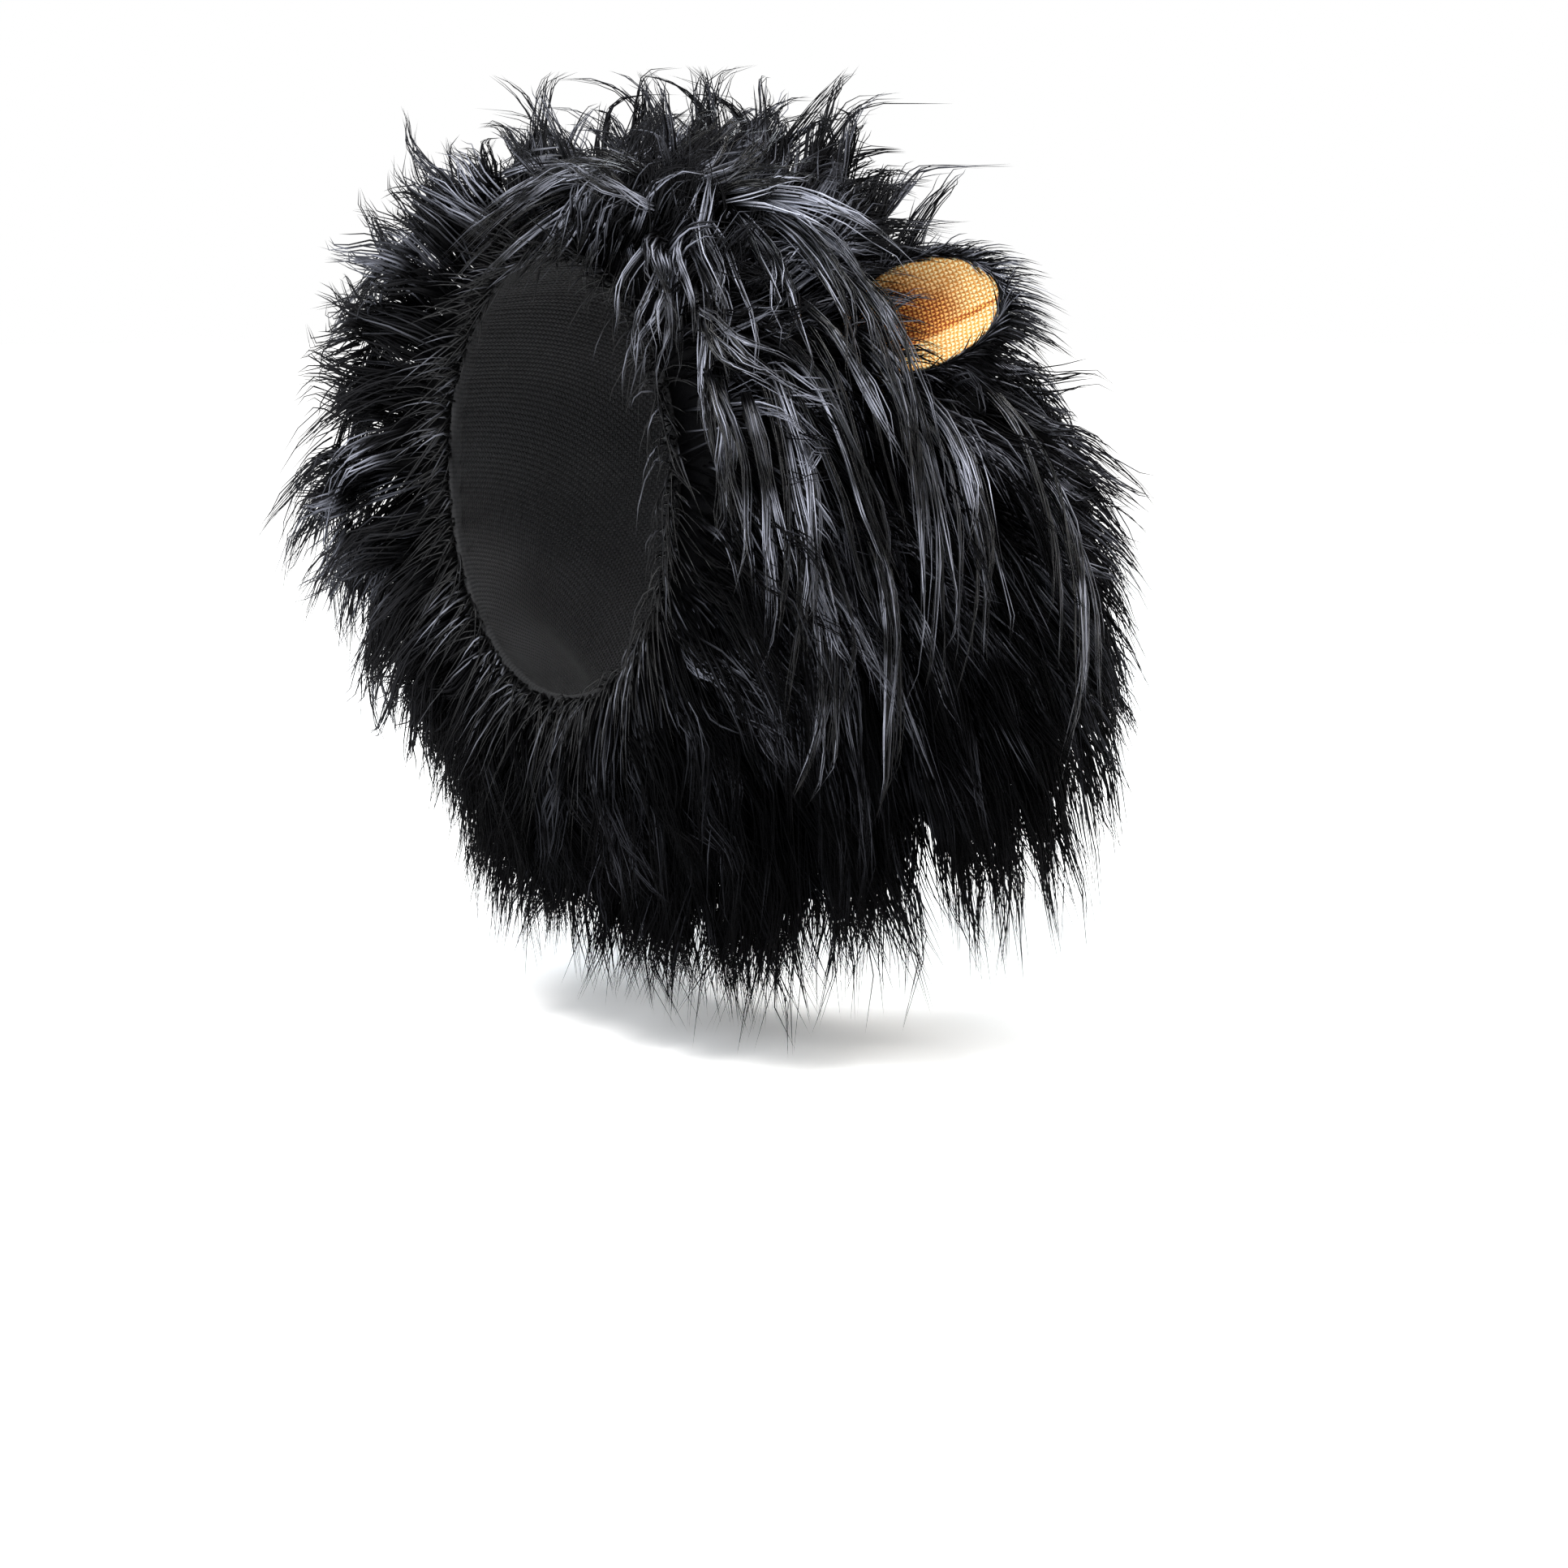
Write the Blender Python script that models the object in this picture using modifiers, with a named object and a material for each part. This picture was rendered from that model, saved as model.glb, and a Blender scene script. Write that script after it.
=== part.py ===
"""Lion mane hood for a large dog, in metres, +Z up, with the face opening towards -Y.

A knit hood carries long black pile in a left and a right half that meet in a seam over the crown,
a forelock above the brow, and two cupped ears. The origin is where the hood rests on the crown of
the head, on the inner side of the cloth.
"""

import math
import random
from collections import namedtuple

import bmesh
import bpy
from mathutils import Vector

# Knit hood
FACE_HEIGHT = 0.210
FACE_WIDTH = 0.164
NECK_DEPTH = 0.205
NECK_WIDTH = 0.216
HOOD_RISE = 0.036
HOOD_SPREAD = 0.014
THROAT_LENGTH = 0.085
THROAT_TILT = math.radians(50)
HOOD_TURN = math.radians(70)
CLOTH = 0.0025
HEM_ROLL = 0.0056
FIT_GAP = 0.0004

# Pile
PILE_LENGTH = 0.145
PILE_BODY = 0.44
EARLY_RISE = 1.4
RIGHT_TRIM = 0.20
TRIM_START = math.radians(80)
RIDGE_HEIGHT = 0.005
SEAM_GAP = 0.0006

# Locks
LOCK_WIDTH = 0.034
LOCK_FLATNESS = 0.50
LOCK_TIP = 0.0020
LOCK_WAVE = 0.009
LOCK_CLEARANCE = 0.0015

# Forelock
WHORL_SHARE = 0.13
TUFT_WIDTH = 0.044
TUFT_HEIGHT = 0.034
FORELOCK_LENGTH = 0.122
FORELOCK_WIDTH = 0.024

# Ears
EAR_SHARE = 0.36
EAR_AROUND = math.radians(45)
EAR_LENGTH = 0.088
EAR_WIDTH = 0.060
EAR_CUP = 0.011
EAR_WALL = 0.0040
LINING_WALL = 0.0015
LINING_INSET = 0.0025
EAR_LIP = 0.005
EAR_TO_TIP = Vector((0.85, 0.42, 0.31)).normalized()
EAR_FACING = Vector((0.50, -0.86, 0.12))
POCKET_MARGIN = 0.004
POCKET_REACH = 0.026
LOCKS_AHEAD = 0.050

# Facets
HALF_COLUMNS = 14
HOOD_ROWS = 7
SKIN_ROWS = 7
HEM_ROWS = 3
LOCK_SIDES = 4
LOCK_SEGMENTS = 3
EAR_CELLS = 6

DOWN = Vector((0.0, 0.0, -1.0))

Pile = namedtuple("Pile", "around length spread droop lean")

# How the pile lies, from the crown side of the hood (0 degrees) to the throat side (180 degrees), at stations
# between the face hem and the neck hem. Length is a share of PILE_LENGTH. Spread and droop are the shares of
# that length by which a lock's tip stands out from the hood and hangs down, and lean is how far it starts
# towards the face, or to the neck where it is below zero.
PILE_BANDS = {
    0.00: (
        Pile(0, 0.30, 0.60, 0.00, 0.20),
        Pile(28, 0.72, 0.72, 0.00, 0.15),
        Pile(60, 0.92, 0.74, 0.08, 0.10),
        Pile(90, 0.92, 0.72, 0.26, 0.08),
        Pile(135, 0.76, 0.60, 0.42, 0.08),
        Pile(180, 0.66, 0.44, 0.56, 0.10),
    ),
    0.15: (
        Pile(0, 0.46, 0.66, 0.00, 0.00),
        Pile(28, 0.80, 0.70, 0.02, 0.00),
        Pile(60, 0.96, 0.74, 0.12, 0.05),
        Pile(90, 0.98, 0.72, 0.32, 0.05),
        Pile(135, 0.84, 0.60, 0.50, 0.05),
        Pile(180, 0.74, 0.44, 0.62, 0.05),
    ),
    0.30: (
        Pile(0, 0.80, 0.66, 0.00, -0.10),
        Pile(45, 0.90, 0.70, 0.06, -0.05),
        Pile(90, 1.00, 0.70, 0.38, 0.00),
        Pile(135, 0.92, 0.58, 0.56, 0.00),
        Pile(180, 0.80, 0.44, 0.64, 0.00),
    ),
    0.60: (
        Pile(0, 0.82, 0.66, 0.20, -0.85),
        Pile(45, 0.92, 0.68, 0.22, -0.60),
        Pile(90, 1.00, 0.68, 0.46, -0.20),
        Pile(135, 0.94, 0.54, 0.60, 0.00),
        Pile(180, 0.84, 0.42, 0.64, 0.00),
    ),
    1.00: (
        Pile(0, 0.80, 0.56, 0.50, -0.30),
        Pile(45, 0.74, 0.60, 0.46, -0.20),
        Pile(90, 0.78, 0.60, 0.48, -0.10),
        Pile(135, 0.80, 0.46, 0.58, -0.20),
        Pile(180, 0.76, 0.40, 0.58, -0.30),
    ),
}

LockRow = namedtuple("LockRow", "station first last count root")

# Rows of locks on each half, by station between the hems and by angle from crown to throat, with the share of
# the lock's length at which it starts inside the pile
LOCK_ROWS = (
    LockRow(0.03, 34, 177, 11, 0.12),
    LockRow(0.16, 16, 177, 9, 0.26),
    LockRow(0.25, 9, 60, 3, 0.30),
    LockRow(0.30, 74, 176, 6, 0.30),
    LockRow(0.36, 14, 66, 3, 0.28),
    LockRow(0.48, 8, 176, 10, 0.28),
    LockRow(0.62, 8, 176, 9, 0.26),
    LockRow(0.74, 8, 80, 4, 0.24),
    LockRow(0.82, 8, 176, 9, 0.24),
    LockRow(0.96, 8, 177, 10, 0.14),
)

ForelockRow = namedtuple("ForelockRow", "heading length rise fall")

# Locks that fan out from the whorl above the brow: heading from straight ahead towards the left, in degrees,
# and the shares of the length by which each rises and then falls
FORELOCK_ROWS = (
    ForelockRow(-80, 0.84, 0.52, 0.74),
    ForelockRow(-54, 1.00, 0.50, 0.70),
    ForelockRow(-28, 1.04, 0.48, 0.70),
    ForelockRow(-2, 0.92, 0.48, 0.80),
    ForelockRow(24, 0.92, 0.50, 0.86),
    ForelockRow(50, 1.00, 0.48, 0.88),
    ForelockRow(78, 0.94, 0.50, 0.84),
)


def mix(first, second, share):
    return first + (second - first) * share


def eased(share):
    return share * share * (3 - 2 * share)


# Shape of the hood


def ring_axes(station):
    """Directions of a ring of the hood: across it from throat to crown, and out of its plane to the face side."""
    turn = HOOD_TURN * station
    to_crown = Vector((0.0, math.sin(turn), math.cos(turn)))
    to_face = Vector((0.0, -math.cos(turn), math.sin(turn)))
    return to_crown, to_face


def ring_halves(station):
    """Half the height and half the width of the hood's inner side at a station."""
    middle = math.sin(math.pi * station)
    height = mix(FACE_HEIGHT, NECK_DEPTH, station) + HOOD_RISE * middle
    width = mix(FACE_WIDTH, NECK_WIDTH, station) + HOOD_SPREAD * middle
    return height / 2, width / 2


def ring_point(station, around, offset):
    """Point of the hood before it is moved to its origin, offset outwards from the inner side."""
    to_crown, _ = ring_axes(station)
    half_height, half_width = ring_halves(station)
    along_throat = Vector((0.0, math.sin(THROAT_TILT), -math.cos(THROAT_TILT)))
    centre = along_throat * THROAT_LENGTH * station + to_crown * half_height
    return (
        centre
        + to_crown * (half_height + offset) * math.cos(around)
        + Vector(((half_width + offset) * math.sin(around), 0.0, 0.0))
    )


CROWN_STEPS = 200
CROWN = max((ring_point(step / CROWN_STEPS, 0.0, 0.0) for step in range(CROWN_STEPS)), key=lambda point: point.z)


def hood_point(station, around, offset=0.0):
    """Point of the hood: station 0 is the face hem and 1 the neck hem, around 0 is the crown and pi the throat."""
    return ring_point(station, around, offset) - CROWN


def outward(station, around):
    to_crown, _ = ring_axes(station)
    half_height, half_width = ring_halves(station)
    across = Vector((math.sin(around) / half_width, 0.0, 0.0))
    return (to_crown * (math.cos(around) / half_height) + across).normalized()


# Lie of the pile


def band_at(band, degrees):
    for low, high in zip(band, band[1:]):
        if degrees <= high.around:
            share = eased((degrees - low.around) / (high.around - low.around))
            return [mix(a, b, share) for a, b in zip(low[1:], high[1:])]
    return list(band[-1][1:])


def pile_at(station, around, side):
    """Length in metres, spread, droop and lean of the pile at a place on the left (1) or right (-1) half."""
    degrees = min(180.0, abs(math.degrees(around)))
    stations = sorted(PILE_BANDS)
    low = max(s for s in stations[:-1] if s <= station)
    high = min(s for s in stations if s > low)
    share = eased((station - low) / (high - low))
    first, second = band_at(PILE_BANDS[low], degrees), band_at(PILE_BANDS[high], degrees)
    length, spread, droop, lean = (mix(a, b, share) for a, b in zip(first, second))
    if side < 0:
        length *= 1 - RIGHT_TRIM * math.sin(math.pi * max(0.0, around - TRIM_START) / (math.pi - TRIM_START)) ** 2
    return length * PILE_LENGTH, spread, droop, lean


def pile_point(station, around, share, side, scale=1.0):
    """Point at a share of the way from the root to the tip of the pile, with the right half laid over the left."""
    length, spread, droop, lean = pile_at(station, around, side)
    _, to_face = ring_axes(station)
    start = (outward(station, around) + to_face * lean).normalized()
    rise = spread * (EARLY_RISE * share + (1 - EARLY_RISE) * share * share)
    return hood_point(station, around, CLOTH) + (start * rise + DOWN * droop * share * share) * length * scale


# Meshes


def new_object(name, mesh, collection):
    data = bpy.data.meshes.new(name)
    mesh.to_mesh(data)
    mesh.free()
    data.update()
    piece = bpy.data.objects.new(name, data)
    collection.objects.link(piece)
    return piece


def add_grid(mesh, columns, rows, place):
    """Adds a grid whose vertices are moved to place(column, row), with the edges that meet welded."""
    made = bmesh.ops.create_grid(mesh, x_segments=columns, y_segments=rows, size=0.5)
    for vertex in made["verts"]:
        column = round((vertex.co.x + 0.5) * columns)
        row = round((vertex.co.y + 0.5) * rows)
        vertex.co = place(column, row)
    bmesh.ops.remove_doubles(mesh, verts=made["verts"], dist=1e-6)


def wrapped_grid(columns, rows, place):
    mesh = bmesh.new()
    add_grid(mesh, columns, rows, place)
    return mesh


def closed_up(mesh):
    """Fills the open ends and turns every face outwards."""
    rims = [edge for edge in mesh.edges if edge.is_boundary]
    bmesh.ops.holes_fill(mesh, edges=rims, sides=0)
    bmesh.ops.triangulate(mesh, faces=mesh.faces)
    bmesh.ops.recalc_face_normals(mesh, faces=mesh.faces)
    return mesh


def smooth(piece, angle=40):
    piece.data.shade_smooth()
    piece.data.set_sharp_from_angle(angle=math.radians(angle))


def boolean(piece, operation, other):
    modifier = piece.modifiers.new(operation.lower(), "BOOLEAN")
    modifier.operation = operation
    modifier.object = other
    modifier.solver = "EXACT"
    modifier.use_self = operation == "UNION"


def hem_point(station, around, turn):
    """Point on the rolled hem at either end of the hood, turn radians round the roll from the inner side."""
    middle = hood_point(station, around, CLOTH / 2)
    out = outward(station, around)
    _, to_face = ring_axes(station)
    beyond = to_face if station == 0 else -to_face
    return middle + (-out * math.cos(turn) + beyond * math.sin(turn)) * HEM_ROLL / 2


def hood_wall(around):
    """Closed outline of the cloth along the hood at one angle: inner side, neck hem, outer side, face hem."""
    stations = [row / HOOD_ROWS for row in range(1, HOOD_ROWS)]
    turns = [math.pi * step / HEM_ROWS for step in range(HEM_ROWS + 1)]
    inner = [hood_point(station, around, 0.0) for station in stations]
    outer = [hood_point(station, around, CLOTH) for station in reversed(stations)]
    neck_hem = [hem_point(1, around, turn) for turn in turns]
    face_hem = [hem_point(0, around, turn) for turn in reversed(turns)]
    return inner + neck_hem + outer + face_hem


def make_hood(collection, material):
    columns = 2 * HALF_COLUMNS
    walls = [hood_wall(2 * math.pi * column / columns) for column in range(columns)]
    rows = len(walls[0])
    mesh = wrapped_grid(columns, rows, lambda column, row: walls[column % columns][row % rows])
    hood = new_object("hood_backing", closed_up(mesh), collection)
    hood.data.materials.append(material)
    smooth(hood)
    return hood


def seat_point(row, around, gap=FIT_GAP):
    """Point just outside the cloth and its rolled hems, where the pile, the forelock and the ears are seated."""
    at_hem = row in (0, HOOD_ROWS)
    offset = (CLOTH + HEM_ROLL) / 2 if at_hem else CLOTH
    return hood_point(row / HOOD_ROWS, around, offset + gap)


def make_hood_plug(name, gap, helpers):
    """Solid that fills the hood to a gap outside its cloth and hems, which trims what is seated on it."""
    columns = 2 * HALF_COLUMNS

    def place(column, row):
        around = 2 * math.pi * (column % columns) / columns
        if 0 < row < HOOD_ROWS + 2:
            return seat_point(row - 1, around, gap)
        row_inside = 0 if row == 0 else HOOD_ROWS
        _, to_face = ring_axes(row_inside / HOOD_ROWS)
        beyond = to_face if row == 0 else -to_face
        return seat_point(row_inside, around, gap) + beyond * (HEM_ROLL / 2 + gap)

    return new_object(name, closed_up(wrapped_grid(columns, HOOD_ROWS + 2, place)), helpers)


# Pile halves


def ridge(station, column):
    """Height of the relief on the pile's outer side, which runs in ridges from hem to hem."""
    return RIDGE_HEIGHT * (1 if column % 2 else -1) * math.sin(math.pi * min(1.0, 0.15 + station))


def pile_wall(column, side):
    """Closed outline of one half's pile at one column: inner side from face to neck, then outer side back."""
    around = math.pi * column / HALF_COLUMNS
    shift = Vector((side * SEAM_GAP / 2, 0.0, 0.0))
    at_seam = column in (0, HALF_COLUMNS)
    points = []
    for row in range(HOOD_ROWS + 1):
        points.append(seat_point(row, around))
    for row in range(SKIN_ROWS, -1, -1):
        station = row / SKIN_ROWS
        skin = pile_point(station, around, PILE_BODY, side)
        if not at_seam:
            skin += outward(station, around) * ridge(station, column)
        points.append(skin)
    return [Vector((side * point.x, point.y, point.z)) + shift for point in points]


def make_pile_body(name, side, collection):
    walls = [pile_wall(column, side) for column in range(HALF_COLUMNS + 1)]
    rows = len(walls[0])
    mesh = wrapped_grid(HALF_COLUMNS, rows, lambda column, row: walls[column][row % rows])
    return new_object(name, closed_up(mesh), collection)


def lock_half_width(width, share):
    return mix(width, LOCK_TIP, share ** 1.3) / 2


def bent_lock(mesh, path, width, reference):
    """Adds a tapered lock of flattened section whose middle follows path(share) from share 0 to 1."""
    frames = []
    across = reference
    for step in range(LOCK_SEGMENTS + 1):
        share = step / LOCK_SEGMENTS
        along = (path(min(1.0, share + 0.05)) - path(max(0.0, share - 0.05))).normalized()
        across = (across - along * across.dot(along)).normalized()
        half = lock_half_width(width, share)
        frames.append((path(share), across * half, along.cross(across) * half * LOCK_FLATNESS))

    def place(column, row):
        middle, wide, thin = frames[row]
        turn = 2 * math.pi * (column % LOCK_SIDES) / LOCK_SIDES
        return middle + wide * math.cos(turn) + thin * math.sin(turn)

    add_grid(mesh, LOCK_SIDES, LOCK_SEGMENTS, place)


def near_ear(points):
    """Whether a lock would cross the pocket in which the ear stands."""
    root = ear_root()
    to_tip, facing, across = ear_axes()
    for point in points:
        place = point - root
        along, over, ahead = place.dot(to_tip), place.dot(across), place.dot(facing)
        wide = EAR_WIDTH / 2 + POCKET_MARGIN + LOCK_WIDTH / 2
        inside = 0 < along < EAR_LENGTH + LOCK_WIDTH / 2 and abs(over) < wide
        if inside and -EAR_CUP - LOCK_WIDTH / 2 < ahead < LOCKS_AHEAD:
            return True
    return False


def make_locks(name, side, helpers, lock_plug):
    """The locks of one half, in rows from the face hem to the neck hem, with their roots inside the pile."""
    wander = random.Random(7 if side > 0 else 11)
    mesh = bmesh.new()
    for number, row in enumerate(LOCK_ROWS):
        for index in range(row.count):
            step = (index + 0.25 + 0.5 * (number % 2)) / row.count
            around = math.radians(mix(row.first, row.last, step) + wander.uniform(-3, 3))
            station = min(1.0, max(0.0, row.station + wander.uniform(-0.03, 0.03)))
            scale = wander.uniform(0.94, 1.08)
            phase = wander.uniform(0, 2 * math.pi)
            width = LOCK_WIDTH * wander.uniform(0.85, 1.15)
            sweep = (hood_point(station, around + 0.05) - hood_point(station, around - 0.05)).normalized()

            def path(share):
                swing = LOCK_WAVE * share * math.sin(phase + 1.8 * math.pi * share)
                grown = mix(row.root, 1.0, share)
                point = pile_point(station, around, grown, side, mix(1.0, scale, grown)) + sweep * swing
                nearest = lock_half_width(width, share) + LOCK_CLEARANCE
                return Vector((max(point.x, nearest), point.y, point.z))

            points = [path(step / LOCK_SEGMENTS) for step in range(LOCK_SEGMENTS + 1)]
            if near_ear(points) or near_forelock(points):
                continue
            bent_lock(mesh, path, width, sweep)
    for vertex in mesh.verts:
        vertex.co.x *= side
    locks = new_object(name, closed_up(mesh), helpers)
    boolean(locks, "DIFFERENCE", lock_plug)
    return locks


# Forelock


def whorl_place():
    """Root of the forelock on the hood, and the direction in which it stands."""
    return hood_point(WHORL_SHARE, 0.0, CLOTH + FIT_GAP), outward(WHORL_SHARE, 0.0)


def make_tuft(name, collection, margin):
    """Domed root of the forelock, grown by a margin where it makes room in the pile."""
    root, up = whorl_place()
    mesh = bmesh.new()
    bmesh.ops.create_uvsphere(mesh, u_segments=12, v_segments=8, radius=1.0)
    for vertex in mesh.verts:
        wide = Vector((vertex.co.x, vertex.co.y, 0.0)) * (TUFT_WIDTH / 2 + margin)
        vertex.co = root + wide + up * vertex.co.z * (TUFT_HEIGHT + margin)
    return new_object(name, closed_up(mesh), collection)


def forelock_path(row):
    """Path of one forelock from inside the tuft to its tip, and the direction across it."""
    root, up = whorl_place()
    heading = math.radians(row.heading)
    ahead = Vector((math.sin(heading), -math.cos(heading), 0.0))
    length = FORELOCK_LENGTH * row.length

    def path(share):
        lift = up * (TUFT_HEIGHT * 0.45 + length * (row.rise * share - row.fall * share * share))
        return root + lift + ahead * length * (0.86 * share - 0.10 * share * share)

    return path, Vector((math.cos(heading), math.sin(heading), 0.0))


def near_forelock(points):
    """Whether a lock of the mane would touch one of the forelock."""
    steps = [step / LOCK_SEGMENTS for step in range(LOCK_SEGMENTS + 1)]
    taken = [forelock_path(row)[0](step) for row in FORELOCK_ROWS for step in steps]
    reach = (FORELOCK_WIDTH + LOCK_WIDTH) / 2 * LOCK_FLATNESS
    return any((point - other).length < reach for point in points for other in taken)


def make_forelock(name, collection, helpers, margin):
    """Domed root with its locks, grown by a margin where it makes room in the pile."""
    tuft = make_tuft(name, collection, margin)
    mesh = bmesh.new()
    for row in FORELOCK_ROWS:
        path, across = forelock_path(row)
        bent_lock(mesh, path, FORELOCK_WIDTH + 2 * margin, across)
    boolean(tuft, "UNION", new_object(f"{name}_locks", closed_up(mesh), helpers))
    return tuft


# Ears


def ear_root():
    return hood_point(EAR_SHARE, EAR_AROUND, CLOTH)


def ear_axes():
    """Directions of the left ear: from root to tip, out of its cup, and across it."""
    facing = (EAR_FACING - EAR_TO_TIP * EAR_FACING.dot(EAR_TO_TIP)).normalized()
    return EAR_TO_TIP, facing, EAR_TO_TIP.cross(facing)


def ear_outline(column, row, count, margin):
    """Place on the ear, as shares across and along it, on a grid that is bent into a rounded outline."""
    u = 2 * column / count - 1
    v = 2 * row / count - 1
    x = u * math.sqrt(1 - v * v / 2)
    y = v * math.sqrt(1 - u * u / 2)
    across = x * (EAR_WIDTH / 2 + margin) * (1 - 0.16 * (1 - y) / 2)
    along = EAR_LENGTH / 2 + y * (EAR_LENGTH / 2 + margin)
    return x, y, across, along


def ear_point(column, row, count, side, margin, ahead):
    """Point of the ear's cupped surface, moved ahead out of the cup."""
    to_tip, facing, over = ear_axes()
    x, y, across, along = ear_outline(column, row, count, margin)
    hollow = EAR_CUP * (1 - x * x) * (1 - 0.35 * y * y)
    lip = EAR_LIP * eased(min(1.0, max(0.0, (x - 0.30) / 0.25))) * (1 - y * y)
    point = ear_root() + to_tip * along + over * across + facing * (ahead - hollow + lip)
    return Vector((side * point.x, point.y, point.z))


def make_ear_layer(name, side, collection, margin, ahead, wall, plug, material):
    """One cupped layer of an ear, trimmed where it stands on the hood."""
    count = EAR_CELLS
    mesh = wrapped_grid(
        count, count, lambda column, row: ear_point(column, row, count, side, margin, ahead)
    )
    bmesh.ops.recalc_face_normals(mesh, faces=mesh.faces)
    layer = new_object(name, mesh, collection)
    _, facing, _ = ear_axes()
    ahead_of_wall = Vector((side * facing.x, facing.y, facing.z))
    if layer.data.polygons[0].normal.dot(ahead_of_wall) < 0:
        layer.data.flip_normals()
    solidify = layer.modifiers.new("wall", "SOLIDIFY")
    solidify.thickness = wall
    solidify.offset = -1
    solidify.use_even_offset = True
    boolean(layer, "DIFFERENCE", plug)
    layer.data.materials.append(material)
    smooth(layer, 50)
    return layer


def make_ear(label, side, collection, plug, fur, knit):
    make_ear_layer(f"ear_{label}_back", side, collection, 0.0, 0.0, EAR_WALL, plug, fur)
    make_ear_layer(
        f"ear_{label}_lining", side, collection, -LINING_INSET, FIT_GAP + LINING_WALL, LINING_WALL, plug, knit
    )


def make_ear_pocket(name, side, helpers):
    """Room in the pile round an ear and in front of its cup."""
    count = 6
    mesh = wrapped_grid(
        count, count, lambda column, row: ear_point(column, row, count, side, POCKET_MARGIN, POCKET_REACH)
    )
    _, facing, _ = ear_axes()
    ahead = Vector((side * facing.x, facing.y, facing.z))
    made = bmesh.ops.extrude_face_region(mesh, geom=mesh.faces[:], use_keep_orig=True)
    moved = [item for item in made["geom"] if isinstance(item, bmesh.types.BMVert)]
    depth = POCKET_REACH + EAR_WALL + POCKET_MARGIN
    bmesh.ops.translate(mesh, verts=moved, vec=-ahead * depth)
    return new_object(name, closed_up(mesh), helpers)


# Whole object


def new_material(name, colour, roughness):
    material = bpy.data.materials.new(name)
    material.use_nodes = True
    shader = material.node_tree.nodes["Principled BSDF"]
    shader.inputs["Base Color"].default_value = (*colour, 1.0)
    shader.inputs["Roughness"].default_value = roughness
    shader.inputs["Metallic"].default_value = 0.0
    return material


def make_half(label, side, collection, helpers, lock_plug, forelock_room, material):
    half = make_pile_body(f"mane_{label}", side, collection)
    boolean(half, "UNION", make_locks(f"{label}_locks", side, helpers, lock_plug))
    boolean(half, "DIFFERENCE", make_ear_pocket(f"{label}_ear_pocket", side, helpers))
    boolean(half, "DIFFERENCE", forelock_room)
    half.data.materials.append(material)
    smooth(half)
    return half


def main():
    for old in list(bpy.data.objects):
        bpy.data.objects.remove(old, do_unlink=True)
    collection = bpy.data.collections.new("lion_mane_hood")
    helpers = bpy.data.collections.new("cutters_and_locks")
    bpy.context.scene.collection.children.link(collection)
    bpy.context.scene.collection.children.link(helpers)

    cloth = new_material("black_knit", (0.020, 0.020, 0.022), 0.9)
    fur = new_material("black_pile", (0.012, 0.012, 0.014), 0.5)
    knit = new_material("tan_knit", (0.72, 0.36, 0.10), 0.8)

    make_hood(collection, cloth)
    plug = make_hood_plug("hood_plug", FIT_GAP, helpers)
    lock_plug = make_hood_plug("lock_plug", LOCK_CLEARANCE, helpers)
    forelock_room = make_forelock("forelock_room", helpers, helpers, FIT_GAP)
    forelock = make_forelock("forelock", collection, helpers, 0.0)
    boolean(forelock, "DIFFERENCE", plug)
    forelock.data.materials.append(fur)
    smooth(forelock)
    for label, side in (("left", 1), ("right", -1)):
        make_half(label, side, collection, helpers, lock_plug, forelock_room, fur)
        make_ear(label, side, collection, plug, fur, knit)
    for helper in helpers.objects:
        helper.hide_render = True
        helper.display_type = "WIRE"


main()
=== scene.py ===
"""Dresses a pet lion mane wig: knit hood, black pile in locks, forelock and two lined ears."""

import math
import random
from collections import namedtuple

import bmesh
import bpy
import numpy as np
from bpy.props import FloatProperty, FloatVectorProperty, IntProperty, PointerProperty
from bpy.types import Operator, Panel, PropertyGroup
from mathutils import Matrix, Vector


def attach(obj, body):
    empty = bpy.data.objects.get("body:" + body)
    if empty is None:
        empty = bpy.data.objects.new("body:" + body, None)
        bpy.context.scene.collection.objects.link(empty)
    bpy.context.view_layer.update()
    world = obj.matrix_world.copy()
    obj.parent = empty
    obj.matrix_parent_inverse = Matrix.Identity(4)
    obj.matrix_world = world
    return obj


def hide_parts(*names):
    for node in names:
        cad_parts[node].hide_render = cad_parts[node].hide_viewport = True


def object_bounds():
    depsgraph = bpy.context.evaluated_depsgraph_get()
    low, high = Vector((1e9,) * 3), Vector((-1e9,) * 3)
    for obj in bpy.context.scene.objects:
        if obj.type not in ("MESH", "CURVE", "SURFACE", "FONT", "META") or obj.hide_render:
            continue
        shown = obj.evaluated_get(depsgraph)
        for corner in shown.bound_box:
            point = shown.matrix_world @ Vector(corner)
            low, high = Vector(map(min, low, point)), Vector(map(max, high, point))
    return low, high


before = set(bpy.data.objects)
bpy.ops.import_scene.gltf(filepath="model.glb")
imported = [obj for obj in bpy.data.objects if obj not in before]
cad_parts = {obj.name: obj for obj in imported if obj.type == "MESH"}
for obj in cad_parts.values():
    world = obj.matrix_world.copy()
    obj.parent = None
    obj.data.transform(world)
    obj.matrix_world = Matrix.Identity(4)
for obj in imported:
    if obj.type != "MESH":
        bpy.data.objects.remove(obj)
CAD_BOX = [list(corner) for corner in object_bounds()]

bl_info = {
    "name": "Lion mane wig",
    "version": (1, 0, 0),
    "blender": (4, 5, 0),
    "location": "3D View > Sidebar > Mane",
    "description": "Makes the knit hood, the pile, the forelock and the ears of a pet lion mane wig",
    "category": "Object",
}

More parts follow.
